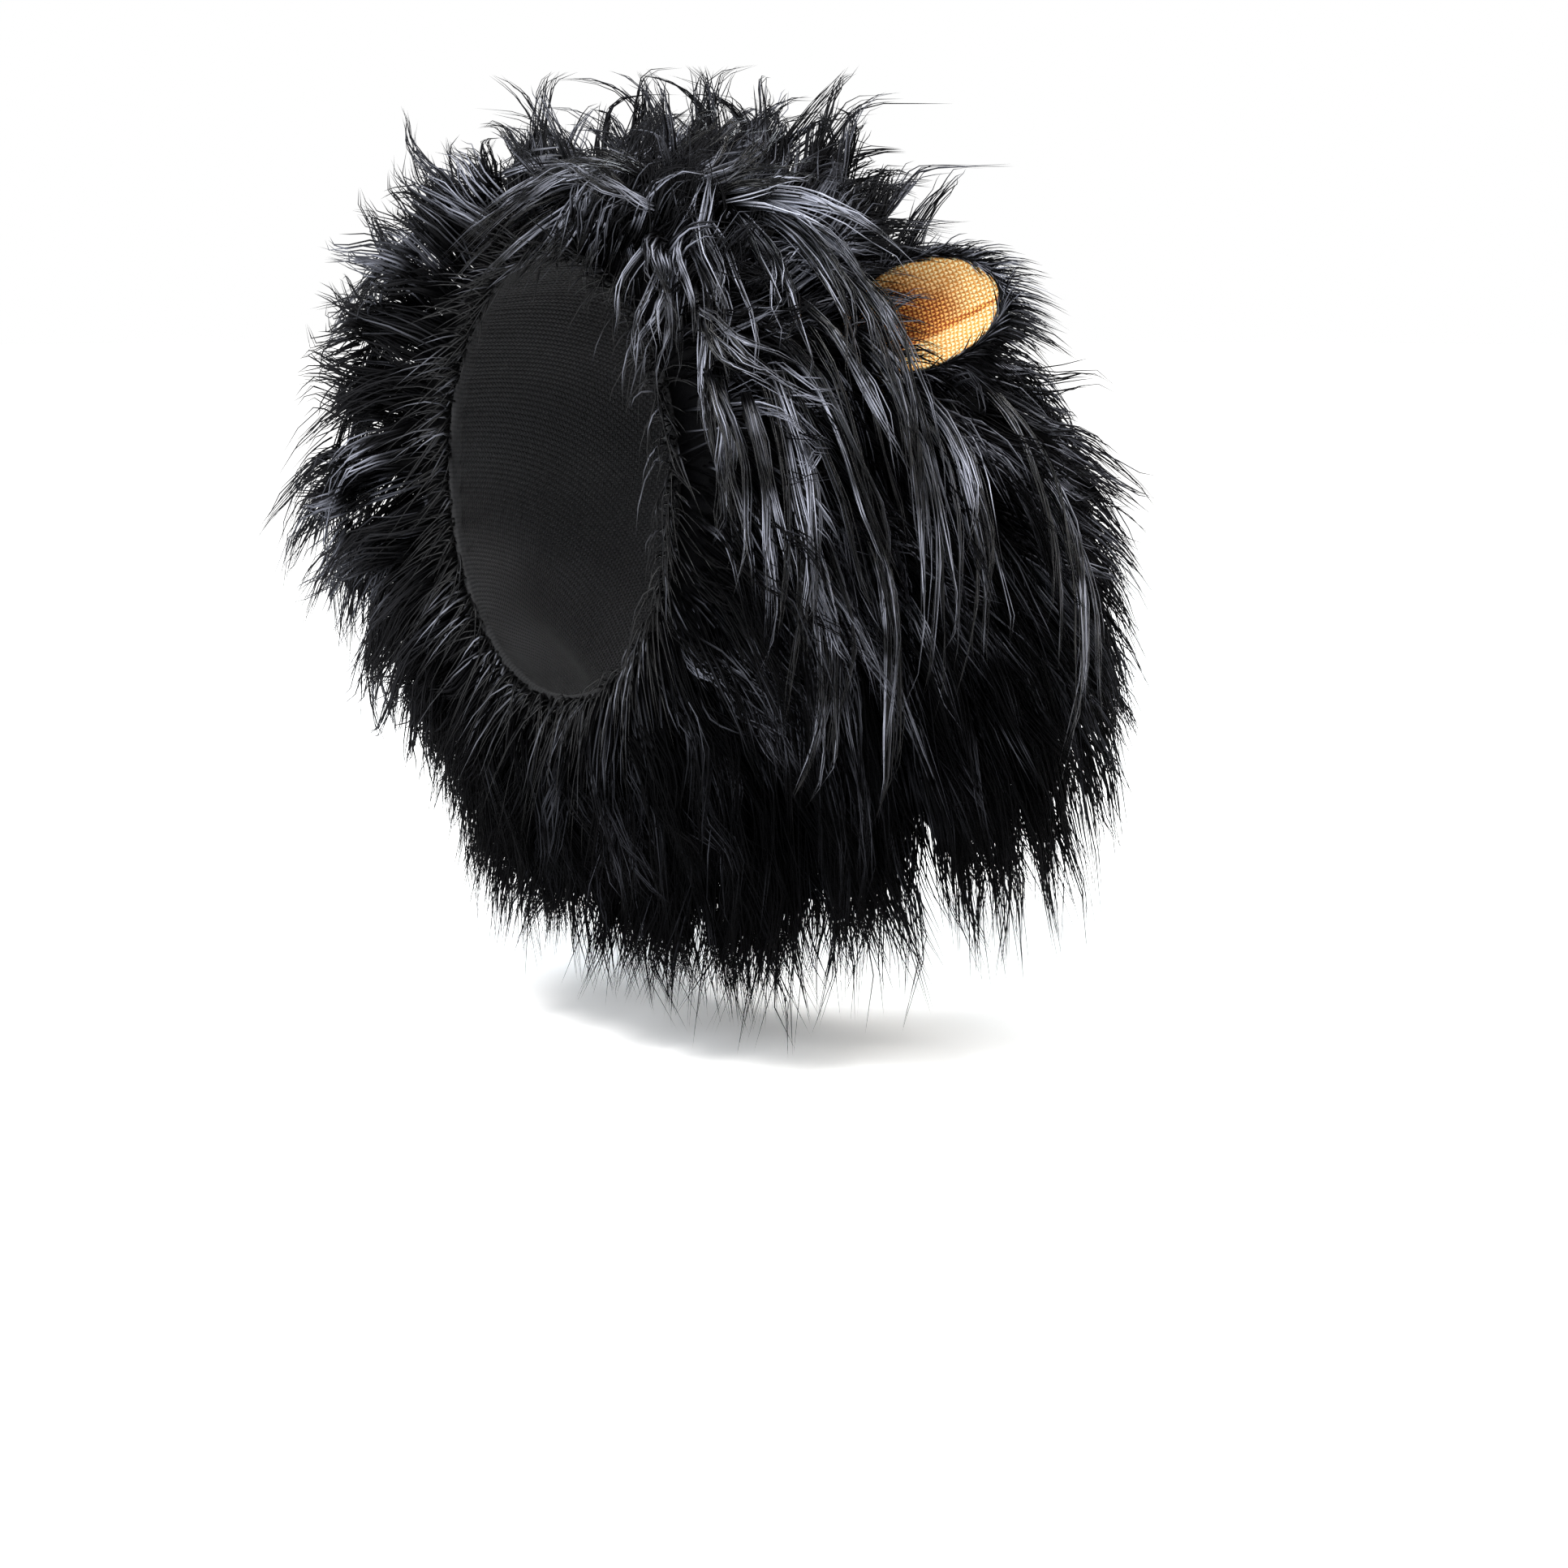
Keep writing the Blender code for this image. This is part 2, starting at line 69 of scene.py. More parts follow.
# Hood, in metres and radians
FACE_HEIGHT = 0.210
FACE_WIDTH = 0.164
NECK_DEPTH = 0.205
NECK_WIDTH = 0.216
HOOD_RISE = 0.036
HOOD_SPREAD = 0.014
THROAT_LENGTH = 0.085
THROAT_TILT = math.radians(50)
HOOD_TURN = math.radians(70)
CLOTH = 0.0025
HEM_ROLL = 0.0056

# Pile
PILE_LENGTH = 0.145
EARLY_RISE = 1.4
RIGHT_TRIM = 0.20
TRIM_START = math.radians(80)
UNDERPILE_SHARE = 0.40
LOCK_WIDTH = 0.034
LOCK_TIP = 0.0020
LOCK_WAVE = 0.009
SEAM_GAP = 0.0006
HOOD_DEPTH = 0.27
HOOD_RADIUS = 0.10

# Forelock
WHORL_SHARE = 0.13
TUFT_WIDTH = 0.044
TUFT_HEIGHT = 0.034
FORELOCK_LENGTH = 0.122

# Ears
EAR_SHARE = 0.36
EAR_AROUND = math.radians(45)
EAR_LENGTH = 0.088
EAR_WIDTH = 0.060
EAR_CUP = 0.011
EAR_WALL = 0.0040
LINING_WALL = 0.0015
LINING_INSET = 0.0025
EAR_LIP = 0.005
EAR_TO_TIP = Vector((0.85, 0.42, 0.31)).normalized()
EAR_FACING = Vector((0.50, -0.86, 0.12))

DOWN = np.array((0.0, 0.0, -1.0))
BACK = np.array((0.0, 1.0, 0.0))

Pile = namedtuple("Pile", "around length spread droop lean")

# How the pile lies, by station between the face hem and the neck hem and by degrees from crown to throat.
# Length is a share of PILE_LENGTH. Spread and droop are shares of that length, and lean is towards the face.
PILE_BANDS = {
    0.00: (
        Pile(0, 0.30, 0.60, 0.00, 0.20),
        Pile(28, 0.72, 0.72, 0.00, 0.15),
        Pile(60, 0.92, 0.74, 0.08, 0.10),
        Pile(90, 0.92, 0.72, 0.26, 0.08),
        Pile(135, 0.76, 0.60, 0.42, 0.08),
        Pile(180, 0.66, 0.44, 0.56, 0.10),
    ),
    0.15: (
        Pile(0, 0.46, 0.66, 0.00, 0.00),
        Pile(28, 0.80, 0.70, 0.02, 0.00),
        Pile(60, 0.96, 0.74, 0.12, 0.05),
        Pile(90, 0.98, 0.72, 0.32, 0.05),
        Pile(135, 0.84, 0.60, 0.50, 0.05),
        Pile(180, 0.74, 0.44, 0.62, 0.05),
    ),
    0.30: (
        Pile(0, 0.80, 0.66, 0.00, -0.10),
        Pile(45, 0.90, 0.70, 0.06, -0.05),
        Pile(90, 1.00, 0.70, 0.38, 0.00),
        Pile(135, 0.92, 0.58, 0.56, 0.00),
        Pile(180, 0.80, 0.44, 0.64, 0.00),
    ),
    0.60: (
        Pile(0, 0.82, 0.66, 0.20, -0.85),
        Pile(45, 0.92, 0.68, 0.22, -0.60),
        Pile(90, 1.00, 0.68, 0.46, -0.20),
        Pile(135, 0.94, 0.54, 0.60, 0.00),
        Pile(180, 0.84, 0.42, 0.64, 0.00),
    ),
    1.00: (
        Pile(0, 0.80, 0.56, 0.50, -0.30),
        Pile(45, 0.74, 0.60, 0.46, -0.20),
        Pile(90, 0.78, 0.60, 0.48, -0.10),
        Pile(135, 0.80, 0.46, 0.58, -0.20),
        Pile(180, 0.76, 0.40, 0.58, -0.30),
    ),
}

LockRow = namedtuple("LockRow", "station first last count root")

# Rows of main locks on each half, which the finer wisps gather into
LOCK_ROWS = (
    LockRow(0.03, 34, 177, 11, 0.12),
    LockRow(0.16, 16, 177, 9, 0.26),
    LockRow(0.25, 9, 60, 3, 0.30),
    LockRow(0.30, 74, 176, 6, 0.30),
    LockRow(0.36, 14, 66, 3, 0.28),
    LockRow(0.48, 8, 176, 10, 0.28),
    LockRow(0.62, 8, 176, 9, 0.26),
    LockRow(0.74, 8, 80, 4, 0.24),
    LockRow(0.82, 8, 176, 9, 0.24),
    LockRow(0.96, 8, 177, 10, 0.14),
)

ForelockRow = namedtuple("ForelockRow", "heading length rise fall")

# Fan of the forelock round the whorl: heading in degrees from straight ahead towards the left
FORELOCK_ROWS = (
    ForelockRow(-80, 0.84, 0.52, 0.74),
    ForelockRow(-54, 1.00, 0.50, 0.70),
    ForelockRow(-28, 1.04, 0.48, 0.70),
    ForelockRow(-2, 0.92, 0.48, 0.80),
    ForelockRow(24, 0.92, 0.50, 0.86),
    ForelockRow(50, 1.00, 0.48, 0.88),
    ForelockRow(78, 0.94, 0.50, 0.84),
)

CombedLock = namedtuple("CombedLock", "first middle last")

# Locks with a painted silver highlight that fan out from the whorl over the front of the mane. Each passes through
# three places, given as station, degrees from the crown and share of the pile's length
COMBED_LOCKS = (
    CombedLock((0.04, 28, 0.45), (-0.05, 24, 0.72), (-0.10, 8, 0.88)),
    CombedLock((0.00, 31, 0.45), (-0.09, 30, 0.68), (-0.13, 18, 0.82)),
    CombedLock((0.04, 25, 0.50), (0.06, 8, 0.80), (0.04, -8, 0.95)),
    CombedLock((-0.02, 40, 0.42), (-0.09, 49, 0.56), (-0.13, 59, 0.60)),
    CombedLock((0.00, 43, 0.50), (-0.07, 55, 0.66), (-0.10, 66, 0.72)),
    CombedLock((0.02, 36, 0.40), (-0.08, 48, 0.26), (-0.14, 60, 0.14)),
    CombedLock((0.02, 40, 0.42), (-0.06, 54, 0.34), (-0.10, 70, 0.26)),
    CombedLock((0.00, 50, 0.42), (-0.05, 66, 0.42), (-0.07, 84, 0.36)),
    CombedLock((-0.03, 66, 0.36), (-0.06, 82, 0.42), (-0.09, 98, 0.44)),
    CombedLock((0.04, 37, 0.48), (-0.03, 50, 0.72), (-0.08, 62, 0.84)),
    CombedLock((0.07, 40, 0.55), (0.03, 57, 0.80), (-0.01, 69, 0.95)),
    CombedLock((0.09, 38, 0.55), (0.09, 54, 0.82), (0.07, 68, 0.96)),
    CombedLock((0.10, 37, 0.55), (0.12, 50, 0.82), (0.13, 62, 0.97)),
    CombedLock((0.07, 36, 0.55), (0.14, 44, 0.82), (0.17, 53, 0.97)),
    CombedLock((0.04, 32, 0.50), (0.07, 33, 0.78), (0.11, 32, 0.97)),
    CombedLock((0.05, 35, 0.55), (0.09, 38, 0.82), (0.15, 38, 0.98)),
    CombedLock((0.06, 24, 0.55), (0.10, 22, 0.80), (0.14, 20, 0.98)),
    CombedLock((-0.06, 58, 0.58), (-0.08, 64, 0.76), (0.02, 72, 0.92)),
    CombedLock((-0.08, 68, 0.50), (-0.10, 80, 0.66), (-0.12, 92, 0.72)),
    CombedLock((-0.05, 72, 0.62), (-0.07, 86, 0.80), (-0.08, 101, 0.88)),
    CombedLock((0.02, 66, 0.50), (-0.02, 85, 0.86), (-0.03, 101, 0.98)),
    CombedLock((0.05, 70, 0.50), (0.02, 89, 0.86), (0.00, 104, 0.98)),
    CombedLock((0.04, 62, 0.50), (0.08, 80, 0.86), (0.15, 95, 0.98)),
    CombedLock((0.09, 58, 0.50), (0.12, 73, 0.86), (0.16, 87, 0.98)),
    CombedLock((0.14, 48, 0.50), (0.17, 62, 0.86), (0.21, 76, 0.98)),
    CombedLock((0.18, 61, 0.48), (0.20, 71, 0.86), (0.24, 84, 0.98)),
    CombedLock((0.35, 66, 0.40), (0.34, 80, 0.84), (0.36, 94, 0.98)),
    CombedLock((0.43, 56, 0.40), (0.45, 71, 0.84), (0.48, 84, 0.98)),
    CombedLock((0.24, 68, 0.42), (0.26, 84, 0.86), (0.28, 99, 0.98)),
    CombedLock((0.18, 84, 0.42), (0.22, 98, 0.86), (0.26, 110, 0.98)),
    CombedLock((0.12, 94, 0.42), (0.14, 108, 0.84), (0.16, 120, 0.96)),
    CombedLock((0.06, 84, 0.50), (0.09, 98, 0.82), (0.12, 110, 0.94)),
    CombedLock((0.30, 68, 0.45), (0.31, 78, 0.84), (0.33, 90, 0.97)),
    CombedLock((0.55, 60, 0.40), (0.57, 74, 0.80), (0.60, 88, 0.95)),
)

Zone = namedtuple("Zone", "name side first last degrees wisps strands segments gloss rooted fall")

# Zones of the mane, each one piece: side 1 is left and -1 right, first and last are stations, degrees run from the
# crown to the throat, rooted is the range of shares of the length at which wisps start, and fall is how far they
# hang below the main locks
# Gloss sets roughness and how strong the painted highlight is, most on the left front
ZONES = (
    Zone("ruff_left", 1, 0.00, 0.07, (2, 179.5), 220, 12, 5, 0.8, (0.02, 0.52), 0.50),
    Zone("pile_left_front", 1, 0.06, 0.34, (2, 179.5), 288, 12, 6, 0.8, (0.26, 0.38), 0.75),
    Zone("pile_left_middle", 1, 0.34, 0.67, (2, 179.5), 300, 12, 5, 0.6, (0.26, 0.38), 0.70),
    Zone("pile_left_back", 1, 0.67, 1.00, (2, 179.5), 260, 12, 4, 0.4, (0.20, 0.36), 0.70),
    Zone("pile_left_low", 1, 0.36, 0.98, (92, 146), 96, 12, 5, 0.3, (0.26, 0.38), 0.30),
    Zone("ruff_right", -1, 0.00, 0.07, (2, 179.5), 236, 12, 5, 0.5, (0.02, 0.52), 0.36),
    Zone("pile_right_front", -1, 0.06, 0.34, (2, 179.5), 256, 11, 6, 0.4, (0.26, 0.38), 0.42),
    Zone("pile_right_middle", -1, 0.34, 0.67, (2, 179.5), 240, 11, 5, 0.4, (0.26, 0.38), 0.40),
    Zone("pile_right_back", -1, 0.67, 1.00, (2, 179.5), 220, 11, 4, 0.3, (0.20, 0.36), 0.55),
)

GUIDE_STEPS = 14


def mix(first, second, share):
    return first + (second - first) * share


def eased(share):
    return share * share * (3 - 2 * share)


def unit(vectors):
    return vectors / np.maximum(np.linalg.norm(vectors, axis=-1, keepdims=True), 1e-9)


# Shape of the hood and lie of the pile, for arrays of places


def ring_axes(station):
    turn = HOOD_TURN * np.asarray(station, float)
    zero = np.zeros_like(turn)
    to_crown = np.stack([zero, np.sin(turn), np.cos(turn)], -1)
    to_face = np.stack([zero, -np.cos(turn), np.sin(turn)], -1)
    return to_crown, to_face


def ring_halves(station):
    middle = np.sin(math.pi * station)
    height = mix(FACE_HEIGHT, NECK_DEPTH, station) + HOOD_RISE * middle
    width = mix(FACE_WIDTH, NECK_WIDTH, station) + HOOD_SPREAD * middle
    return height / 2, width / 2


def ring_place(station, around, offset):
    station, around = np.broadcast_arrays(np.asarray(station, float), np.asarray(around, float))
    to_crown, _ = ring_axes(station)
    half_height, half_width = ring_halves(station)
    along_throat = np.array((0.0, math.sin(THROAT_TILT), -math.cos(THROAT_TILT)))
    centre = along_throat * (THROAT_LENGTH * station)[..., None] + to_crown * half_height[..., None]
    zero = np.zeros_like(station)
    across = np.stack([(half_width + offset) * np.sin(around), zero, zero], -1)
    return centre + to_crown * ((half_height + offset) * np.cos(around))[..., None] + across


CROWN_LINE = ring_place(np.arange(200) / 200, 0.0, 0.0)
CROWN = CROWN_LINE[CROWN_LINE[:, 2].argmax()]


def hood_place(station, around, offset=0.0):
    return ring_place(station, around, offset) - CROWN


def outward(station, around):
    station, around = np.broadcast_arrays(np.asarray(station, float), np.asarray(around, float))
    to_crown, _ = ring_axes(station)
    half_height, half_width = ring_halves(station)
    zero = np.zeros_like(station)
    across = np.stack([np.sin(around) / half_width, zero, zero], -1)
    return unit(to_crown * (np.cos(around) / half_height)[..., None] + across)


def band_at(band, degrees):
    rows = np.array(band)
    low = np.clip(np.searchsorted(rows[:, 0], degrees) - 1, 0, len(rows) - 2)
    share = eased(np.clip((degrees - rows[low, 0]) / (rows[low + 1, 0] - rows[low, 0]), 0, 1))
    return mix(rows[low, 1:], rows[low + 1, 1:], share[:, None])


def pile_at(station, around, side):
    stations = np.array(sorted(PILE_BANDS))
    degrees = np.minimum(180.0, np.abs(np.degrees(around)))
    bands = np.stack([band_at(PILE_BANDS[key], degrees) for key in stations])
    low = np.clip(np.searchsorted(stations, station, side="right") - 1, 0, len(stations) - 2)
    share = eased(np.clip((station - stations[low]) / (stations[low + 1] - stations[low]), 0, 1))
    place = np.arange(len(station))
    length, spread, droop, lean = mix(bands[low, place], bands[low + 1, place], share[:, None]).T
    if side < 0:
        length = length * (
            1 - RIGHT_TRIM * np.sin(math.pi * np.maximum(0, around - TRIM_START) / (math.pi - TRIM_START)) ** 2
        )
    return length * PILE_LENGTH, spread, droop, lean


def pile_paths(station, around, shares, side, scale):
    """Points at shares of the way from root to tip, one row for each place on the +X half."""
    length, spread, droop, lean = pile_at(station, around, side)
    _, to_face = ring_axes(station)
    start = unit(outward(station, around) + to_face * lean[:, None])
    reach = (length * scale)[:, None]
    rise = spread[:, None] * (EARLY_RISE * shares + (1 - EARLY_RISE) * shares**2) * reach
    drop = droop[:, None] * shares**2 * reach
    return hood_place(station, around, CLOTH)[:, None] + start[:, None] * rise[..., None] + DOWN * drop[..., None]


def main_locks(side):
    """Station, angle, scale, phase, root share and width of each main lock of one half."""
    wander = random.Random(7 if side > 0 else 11)
    rows = []
    for number, row in enumerate(LOCK_ROWS):
        for index in range(row.count):
            step = (index + 0.25 + 0.5 * (number % 2)) / row.count
            around = math.radians(mix(row.first, row.last, step) + wander.uniform(-3, 3))
            station = min(1.0, max(0.0, row.station + wander.uniform(-0.03, 0.03)))
            scale = wander.uniform(0.94, 1.08)
            phase = wander.uniform(0, 2 * math.pi)
            rows.append((station, around, scale, phase, row.root, LOCK_WIDTH * wander.uniform(0.85, 1.15)))
    return np.array(rows).T


def lock_paths(locks, shares, side):
    """Middle lines of main locks at shares of the pile's length."""
    station, around, scale, phase, root, _ = locks
    sweep = unit(hood_place(station, around + 0.05) - hood_place(station, around - 0.05))
    grown = np.clip((shares - root[:, None]) / (1 - root[:, None]), 0, 1)
    swing = LOCK_WAVE * grown * np.sin(phase[:, None] + 1.8 * math.pi * grown)
    points = pile_paths(station, around, shares, side, scale)
    return points + sweep[:, None] * swing[..., None]


# Joined strands


def tapered_form(sides, segments):
    """Closed tapered form along Z, made once: corners as (row, turn), and its faces as corner numbers."""
    mesh = bmesh.new()
    made = bmesh.ops.create_grid(mesh, x_segments=sides, y_segments=segments, size=0.5)
    for vertex in made["verts"]:
        turn = 2 * math.pi * (round((vertex.co.x + 0.5) * sides) % sides) / sides
        row = round((vertex.co.y + 0.5) * segments)
        radius = 0.0 if row == segments else 1.0
        vertex.co = (radius * math.cos(turn), radius * math.sin(turn), row)
    bmesh.ops.remove_doubles(mesh, verts=mesh.verts, dist=1e-4)
    bmesh.ops.holes_fill(mesh, edges=[edge for edge in mesh.edges if edge.is_boundary], sides=0)
    bmesh.ops.recalc_face_normals(mesh, faces=mesh.faces)
    mesh.verts.index_update()
    corners = np.array([vertex.co[:] for vertex in mesh.verts])
    faces = [[vertex.index for vertex in face.verts] for face in mesh.faces]
    mesh.free()
    return corners, faces


def joined_forms(name, paths, halves, sides, marks, flatness=1.0):
    """One mesh of many tapered forms that follow paths, with one value of each mark for each form."""
    number, steps = paths.shape[:2]
    corners, faces = tapered_form(sides, steps - 1)
    along = unit(np.gradient(paths, axis=1))
    chord = unit(paths[:, -1] - paths[:, 0])
    steady = np.eye(3)[np.abs(chord).argmin(axis=1)]
    across = unit(steady[:, None] - along * (along * steady[:, None]).sum(-1, keepdims=True))
    beside = np.cross(along, across) * flatness
    rows = corners[:, 2].round().astype(int)
    half = halves[:, rows, None]
    points = paths[:, rows] + (across[:, rows] * corners[:, :1] + beside[:, rows] * corners[:, 1:2]) * half
    totals = np.tile([len(face) for face in faces], number)
    flat = np.concatenate(faces)
    corner_count = len(corners)
    loops = (flat[None] + np.arange(number)[:, None] * corner_count).ravel()
    data = bpy.data.meshes.new(name)
    data.vertices.add(number * corner_count)
    data.vertices.foreach_set("co", points.astype(np.float32).ravel())
    data.loops.add(len(loops))
    data.loops.foreach_set("vertex_index", loops.astype(np.int32))
    data.polygons.add(len(totals))
    starts = np.concatenate([[0], np.cumsum(totals)[:-1]])
    data.polygons.foreach_set("loop_start", starts.astype(np.int32))
    data.update(calc_edges=True)
    data.shade_smooth()
    share = np.tile(rows / (steps - 1), number)
    add_mark(data, "share", share)
    for mark, values in marks.items():
        add_mark(data, mark, np.repeat(values, corner_count))
    data.validate()
    return data


def add_mark(data, name, values):
    mark = data.attributes.new(name, "FLOAT", "POINT")
    mark.data.foreach_set("value", np.asarray(values, np.float32))


def sampled(guides, owner, shares):
    """Points of each strand's guide at its own shares."""
    place = np.clip(shares, 0, 1) * (guides.shape[1] - 1)
    low = np.minimum(place.astype(int), guides.shape[1] - 2)
    owner = owner[:, None]
    return mix(guides[owner, low], guides[owner, low + 1], (place - low)[..., None])


def strands_round(guides, radius, strands, segments, chance, frizz=0.0012, stray=0.10, shortest=0.66, filler=0.30):
    """Strands that start round each guide, gather towards it and end at unequal lengths, with loose short filler."""
    owner = np.repeat(np.arange(len(guides)), strands)
    count = len(owner)
    along = unit(guides[:, 2] - guides[:, 0])
    first = unit(np.cross(along, np.where(np.abs(along[:, 2:]) < 0.8, [[0.0, 0.0, 1.0]], [[1.0, 0.0, 0.0]])))
    second = np.cross(along, first)
    distance = np.sqrt(chance.random(count)) * radius[owner]
    angle = chance.random(count) * 2 * math.pi
    offset = first[owner] * (distance * np.cos(angle))[:, None] + second[owner] * (distance * np.sin(angle))[:, None]
    ends = mix(1.0, shortest, chance.random(count) ** 1.4)
    tight = mix(0.80, 0.99, chance.random(count))
    loose = chance.random(count)
    ends = np.where(loose < filler, mix(0.45, 0.78, chance.random(count)), ends)
    tight = np.where(loose < filler + stray, mix(-0.3, 0.5, chance.random(count)), tight)
    shares = np.linspace(0, 1, segments + 1)[None] * ends[:, None]
    gather = 1 - tight[:, None] * shares**0.75
    flare = 1 + 0.6 * shares
    paths = sampled(guides, owner, shares) + offset[:, None] * (gather * flare)[..., None]
    turns = mix(0.8, 2.6, chance.random(count))[:, None] * shares * 2 * math.pi + angle[:, None]
    size = (frizz * mix(0.4, 1.6, chance.random(count)))[:, None] * shares**0.8
    ripple = first[owner][:, None] * (np.cos(turns) * size)[..., None]
    ripple += second[owner][:, None] * (np.sin(turns * 1.3) * size)[..., None]
    return paths + ripple, owner


def within_box(paths, margin=0.95):
    """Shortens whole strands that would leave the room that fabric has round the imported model."""
    low, high = np.array(CAD_BOX[0]), np.array(CAD_BOX[1])
    room = ((high - low) * 0.03 + 0.010) * margin
    low, high = low - room, high + room
    root = paths[:, :1]
    reach = paths - root
    with np.errstate(divide="ignore", invalid="ignore"):
        over = np.where(paths > high, (high - root) / reach, 1.0)
        under = np.where(paths < low, (low - root) / reach, 1.0)
    keep = np.clip(np.minimum(over, under).min(axis=(1, 2)), 0.2, 1.0)
    return root + reach * keep[:, None, None]


def strand_halves(count, segments, width, chance):
    shares = np.linspace(0, 1, segments + 1)[None]
    return (width / 2) * mix(0.7, 1.25, chance.random(count))[:, None] * (1 - 0.80 * shares**1.4)


# Ears


def ear_axes():
    facing = (EAR_FACING - EAR_TO_TIP * EAR_FACING.dot(EAR_TO_TIP)).normalized()
    return EAR_TO_TIP, facing, EAR_TO_TIP.cross(facing)


def ear_root():
    return Vector(hood_place(EAR_SHARE, EAR_AROUND, CLOTH))


def ear_shares(u, v):
    return u * math.sqrt(1 - v * v / 2), v * math.sqrt(1 - u * u / 2)


def ear_point(x, y, margin, ahead):
    """Point of the left ear's cupped surface, from shares across and along it."""
    to_tip, facing, over = ear_axes()
    across = x * (EAR_WIDTH / 2 + margin) * (1 - 0.16 * (1 - y) / 2)
    along = EAR_LENGTH / 2 + y * (EAR_LENGTH / 2 + margin)
    hollow = EAR_CUP * (1 - x * x) * (1 - 0.35 * y * y)
    lip = EAR_LIP * eased(min(1.0, max(0.0, (x - 0.30) / 0.25))) * (1 - y * y)
    return ear_root() + to_tip * along + over * across + facing * (ahead - hollow + lip)


def in_ear_room(points, base_share=0.22, ahead_room=0.050, wider=0.002):
    """Whether points of the +X half lie in the cup of the ear or in the view into it."""
    to_tip, facing, over = (np.array(axis) for axis in ear_axes())
    place = points - np.array(ear_root())
    along, across, ahead = place @ to_tip, place @ over, place @ facing
    inside = (along > EAR_LENGTH * base_share) & (along < EAR_LENGTH + 0.006)
    return inside & (np.abs(across) < EAR_WIDTH / 2 + wider) & (ahead > -EAR_CUP - EAR_WALL) & (ahead < ahead_room)


def ended_at_ear(paths):
    """Shortens the strands that would cross the ear, and says which have any length left."""
    fine = np.linspace(0, 1, 25)
    number, steps = paths.shape[:2]
    owner = np.arange(number)
    dense = sampled(paths, owner, np.tile(fine, (number, 1)))
    inside = in_ear_room(dense)
    first = np.where(inside.any(axis=1), inside.argmax(axis=1), len(fine))
    ends = np.where(first < len(fine), (first - 1) / (len(fine) - 1), 1.0)
    shares = np.linspace(0, 1, steps)[None] * np.clip(ends, 0, 1)[:, None]
    return sampled(paths, owner, shares), ends > 0.12


# Objects and materials


def piece_from(name, data, side, replaced, material):
    """Adds a piece, laid over to its side, that rides on the body and stands for CAD nodes."""
    if side < 0:
        points = np.empty(len(data.vertices) * 3, np.float32)
        data.vertices.foreach_get("co", points)
        points[::3] *= -1
        data.vertices.foreach_set("co", points)
        data.flip_normals()
    data.update()
    piece = bpy.data.objects.new(name, data)
    bpy.context.scene.collection.objects.link(piece)
    piece.data.materials.append(material)
    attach(piece, "root")
    if replaced:
        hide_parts(*replaced)
    return piece


def grid_mesh(name, columns, rows, place, flat):
    """Welded mesh of a grid whose corners stand at place(u, v), with flat(u, v) in metres as its UV map."""
    mesh = bmesh.new()
    made = bmesh.ops.create_grid(mesh, x_segments=columns, y_segments=rows, size=0.5, calc_uvs=True)
    layer = mesh.loops.layers.uv.verify()
    shares = {vertex: (vertex.co.x + 0.5, vertex.co.y + 0.5) for vertex in made["verts"]}
    for face in mesh.faces:
        for loop in face.loops:
            loop[layer].uv = flat(*shares[loop.vert])
    for vertex, (u, v) in shares.items():
        vertex.co = place(u, v)
    bmesh.ops.remove_doubles(mesh, verts=mesh.verts, dist=1e-6)
    data = bpy.data.meshes.new(name)
    mesh.to_mesh(data)
    mesh.free()
    data.shade_smooth()
    return data


def faces_towards(data, inside_point, outwards=True):
    """Turns a sheet's faces away from a point, or towards it."""
    face = data.polygons[len(data.polygons) // 2]
    away = (face.center - Vector(inside_point)).dot(face.normal) > 0
    if away != outwards:
        data.flip_normals()


def thickened(piece, thickness, offset=-1.0):
    solidify = piece.modifiers.new("wall", "SOLIDIFY")
    solidify.thickness = thickness
    solidify.offset = offset
    solidify.use_even_offset = True


def add_node(tree, kind, label=None, inputs=None, **settings):
    node = tree.nodes.new(kind)
    if label:
        node.label = label
    for key, value in settings.items():
        setattr(node, key, value)
    for key, value in (inputs or {}).items():
        if isinstance(value, bpy.types.NodeSocket):
            tree.links.new(value, node.inputs[key])
        else:
            node.inputs[key].default_value = value
    return node


def calculate(tree, operation, *values):
    return add_node(tree, "ShaderNodeMath", None, dict(enumerate(values)), operation=operation).outputs[0]


def mixed_colour(tree, share, first, second):
    node = add_node(tree, "ShaderNodeMix", None, {0: share}, data_type="RGBA")
    for key, value in ((6, first), (7, second)):
        if isinstance(value, bpy.types.NodeSocket):
            tree.links.new(value, node.inputs[key])
        else:
            node.inputs[key].default_value = value
    return node.outputs[2]


def ranged(tree, value, low, high, to_low=0.0, to_high=1.0):
    inputs = {0: value, 1: low, 2: high, 3: to_low, 4: to_high}
    return add_node(tree, "ShaderNodeMapRange", None, inputs, interpolation_type="SMOOTHSTEP").outputs[0]


def new_group(name, sockets_in, sockets_out):
    group = bpy.data.node_groups.new(name, "ShaderNodeTree")
    for label, kind in sockets_in:
        group.interface.new_socket(label, in_out="INPUT", socket_type=kind)
    for label, kind in sockets_out:
        group.interface.new_socket(label, in_out="OUTPUT", socket_type=kind)
    return group, group.nodes.new("NodeGroupInput"), group.nodes.new("NodeGroupOutput")


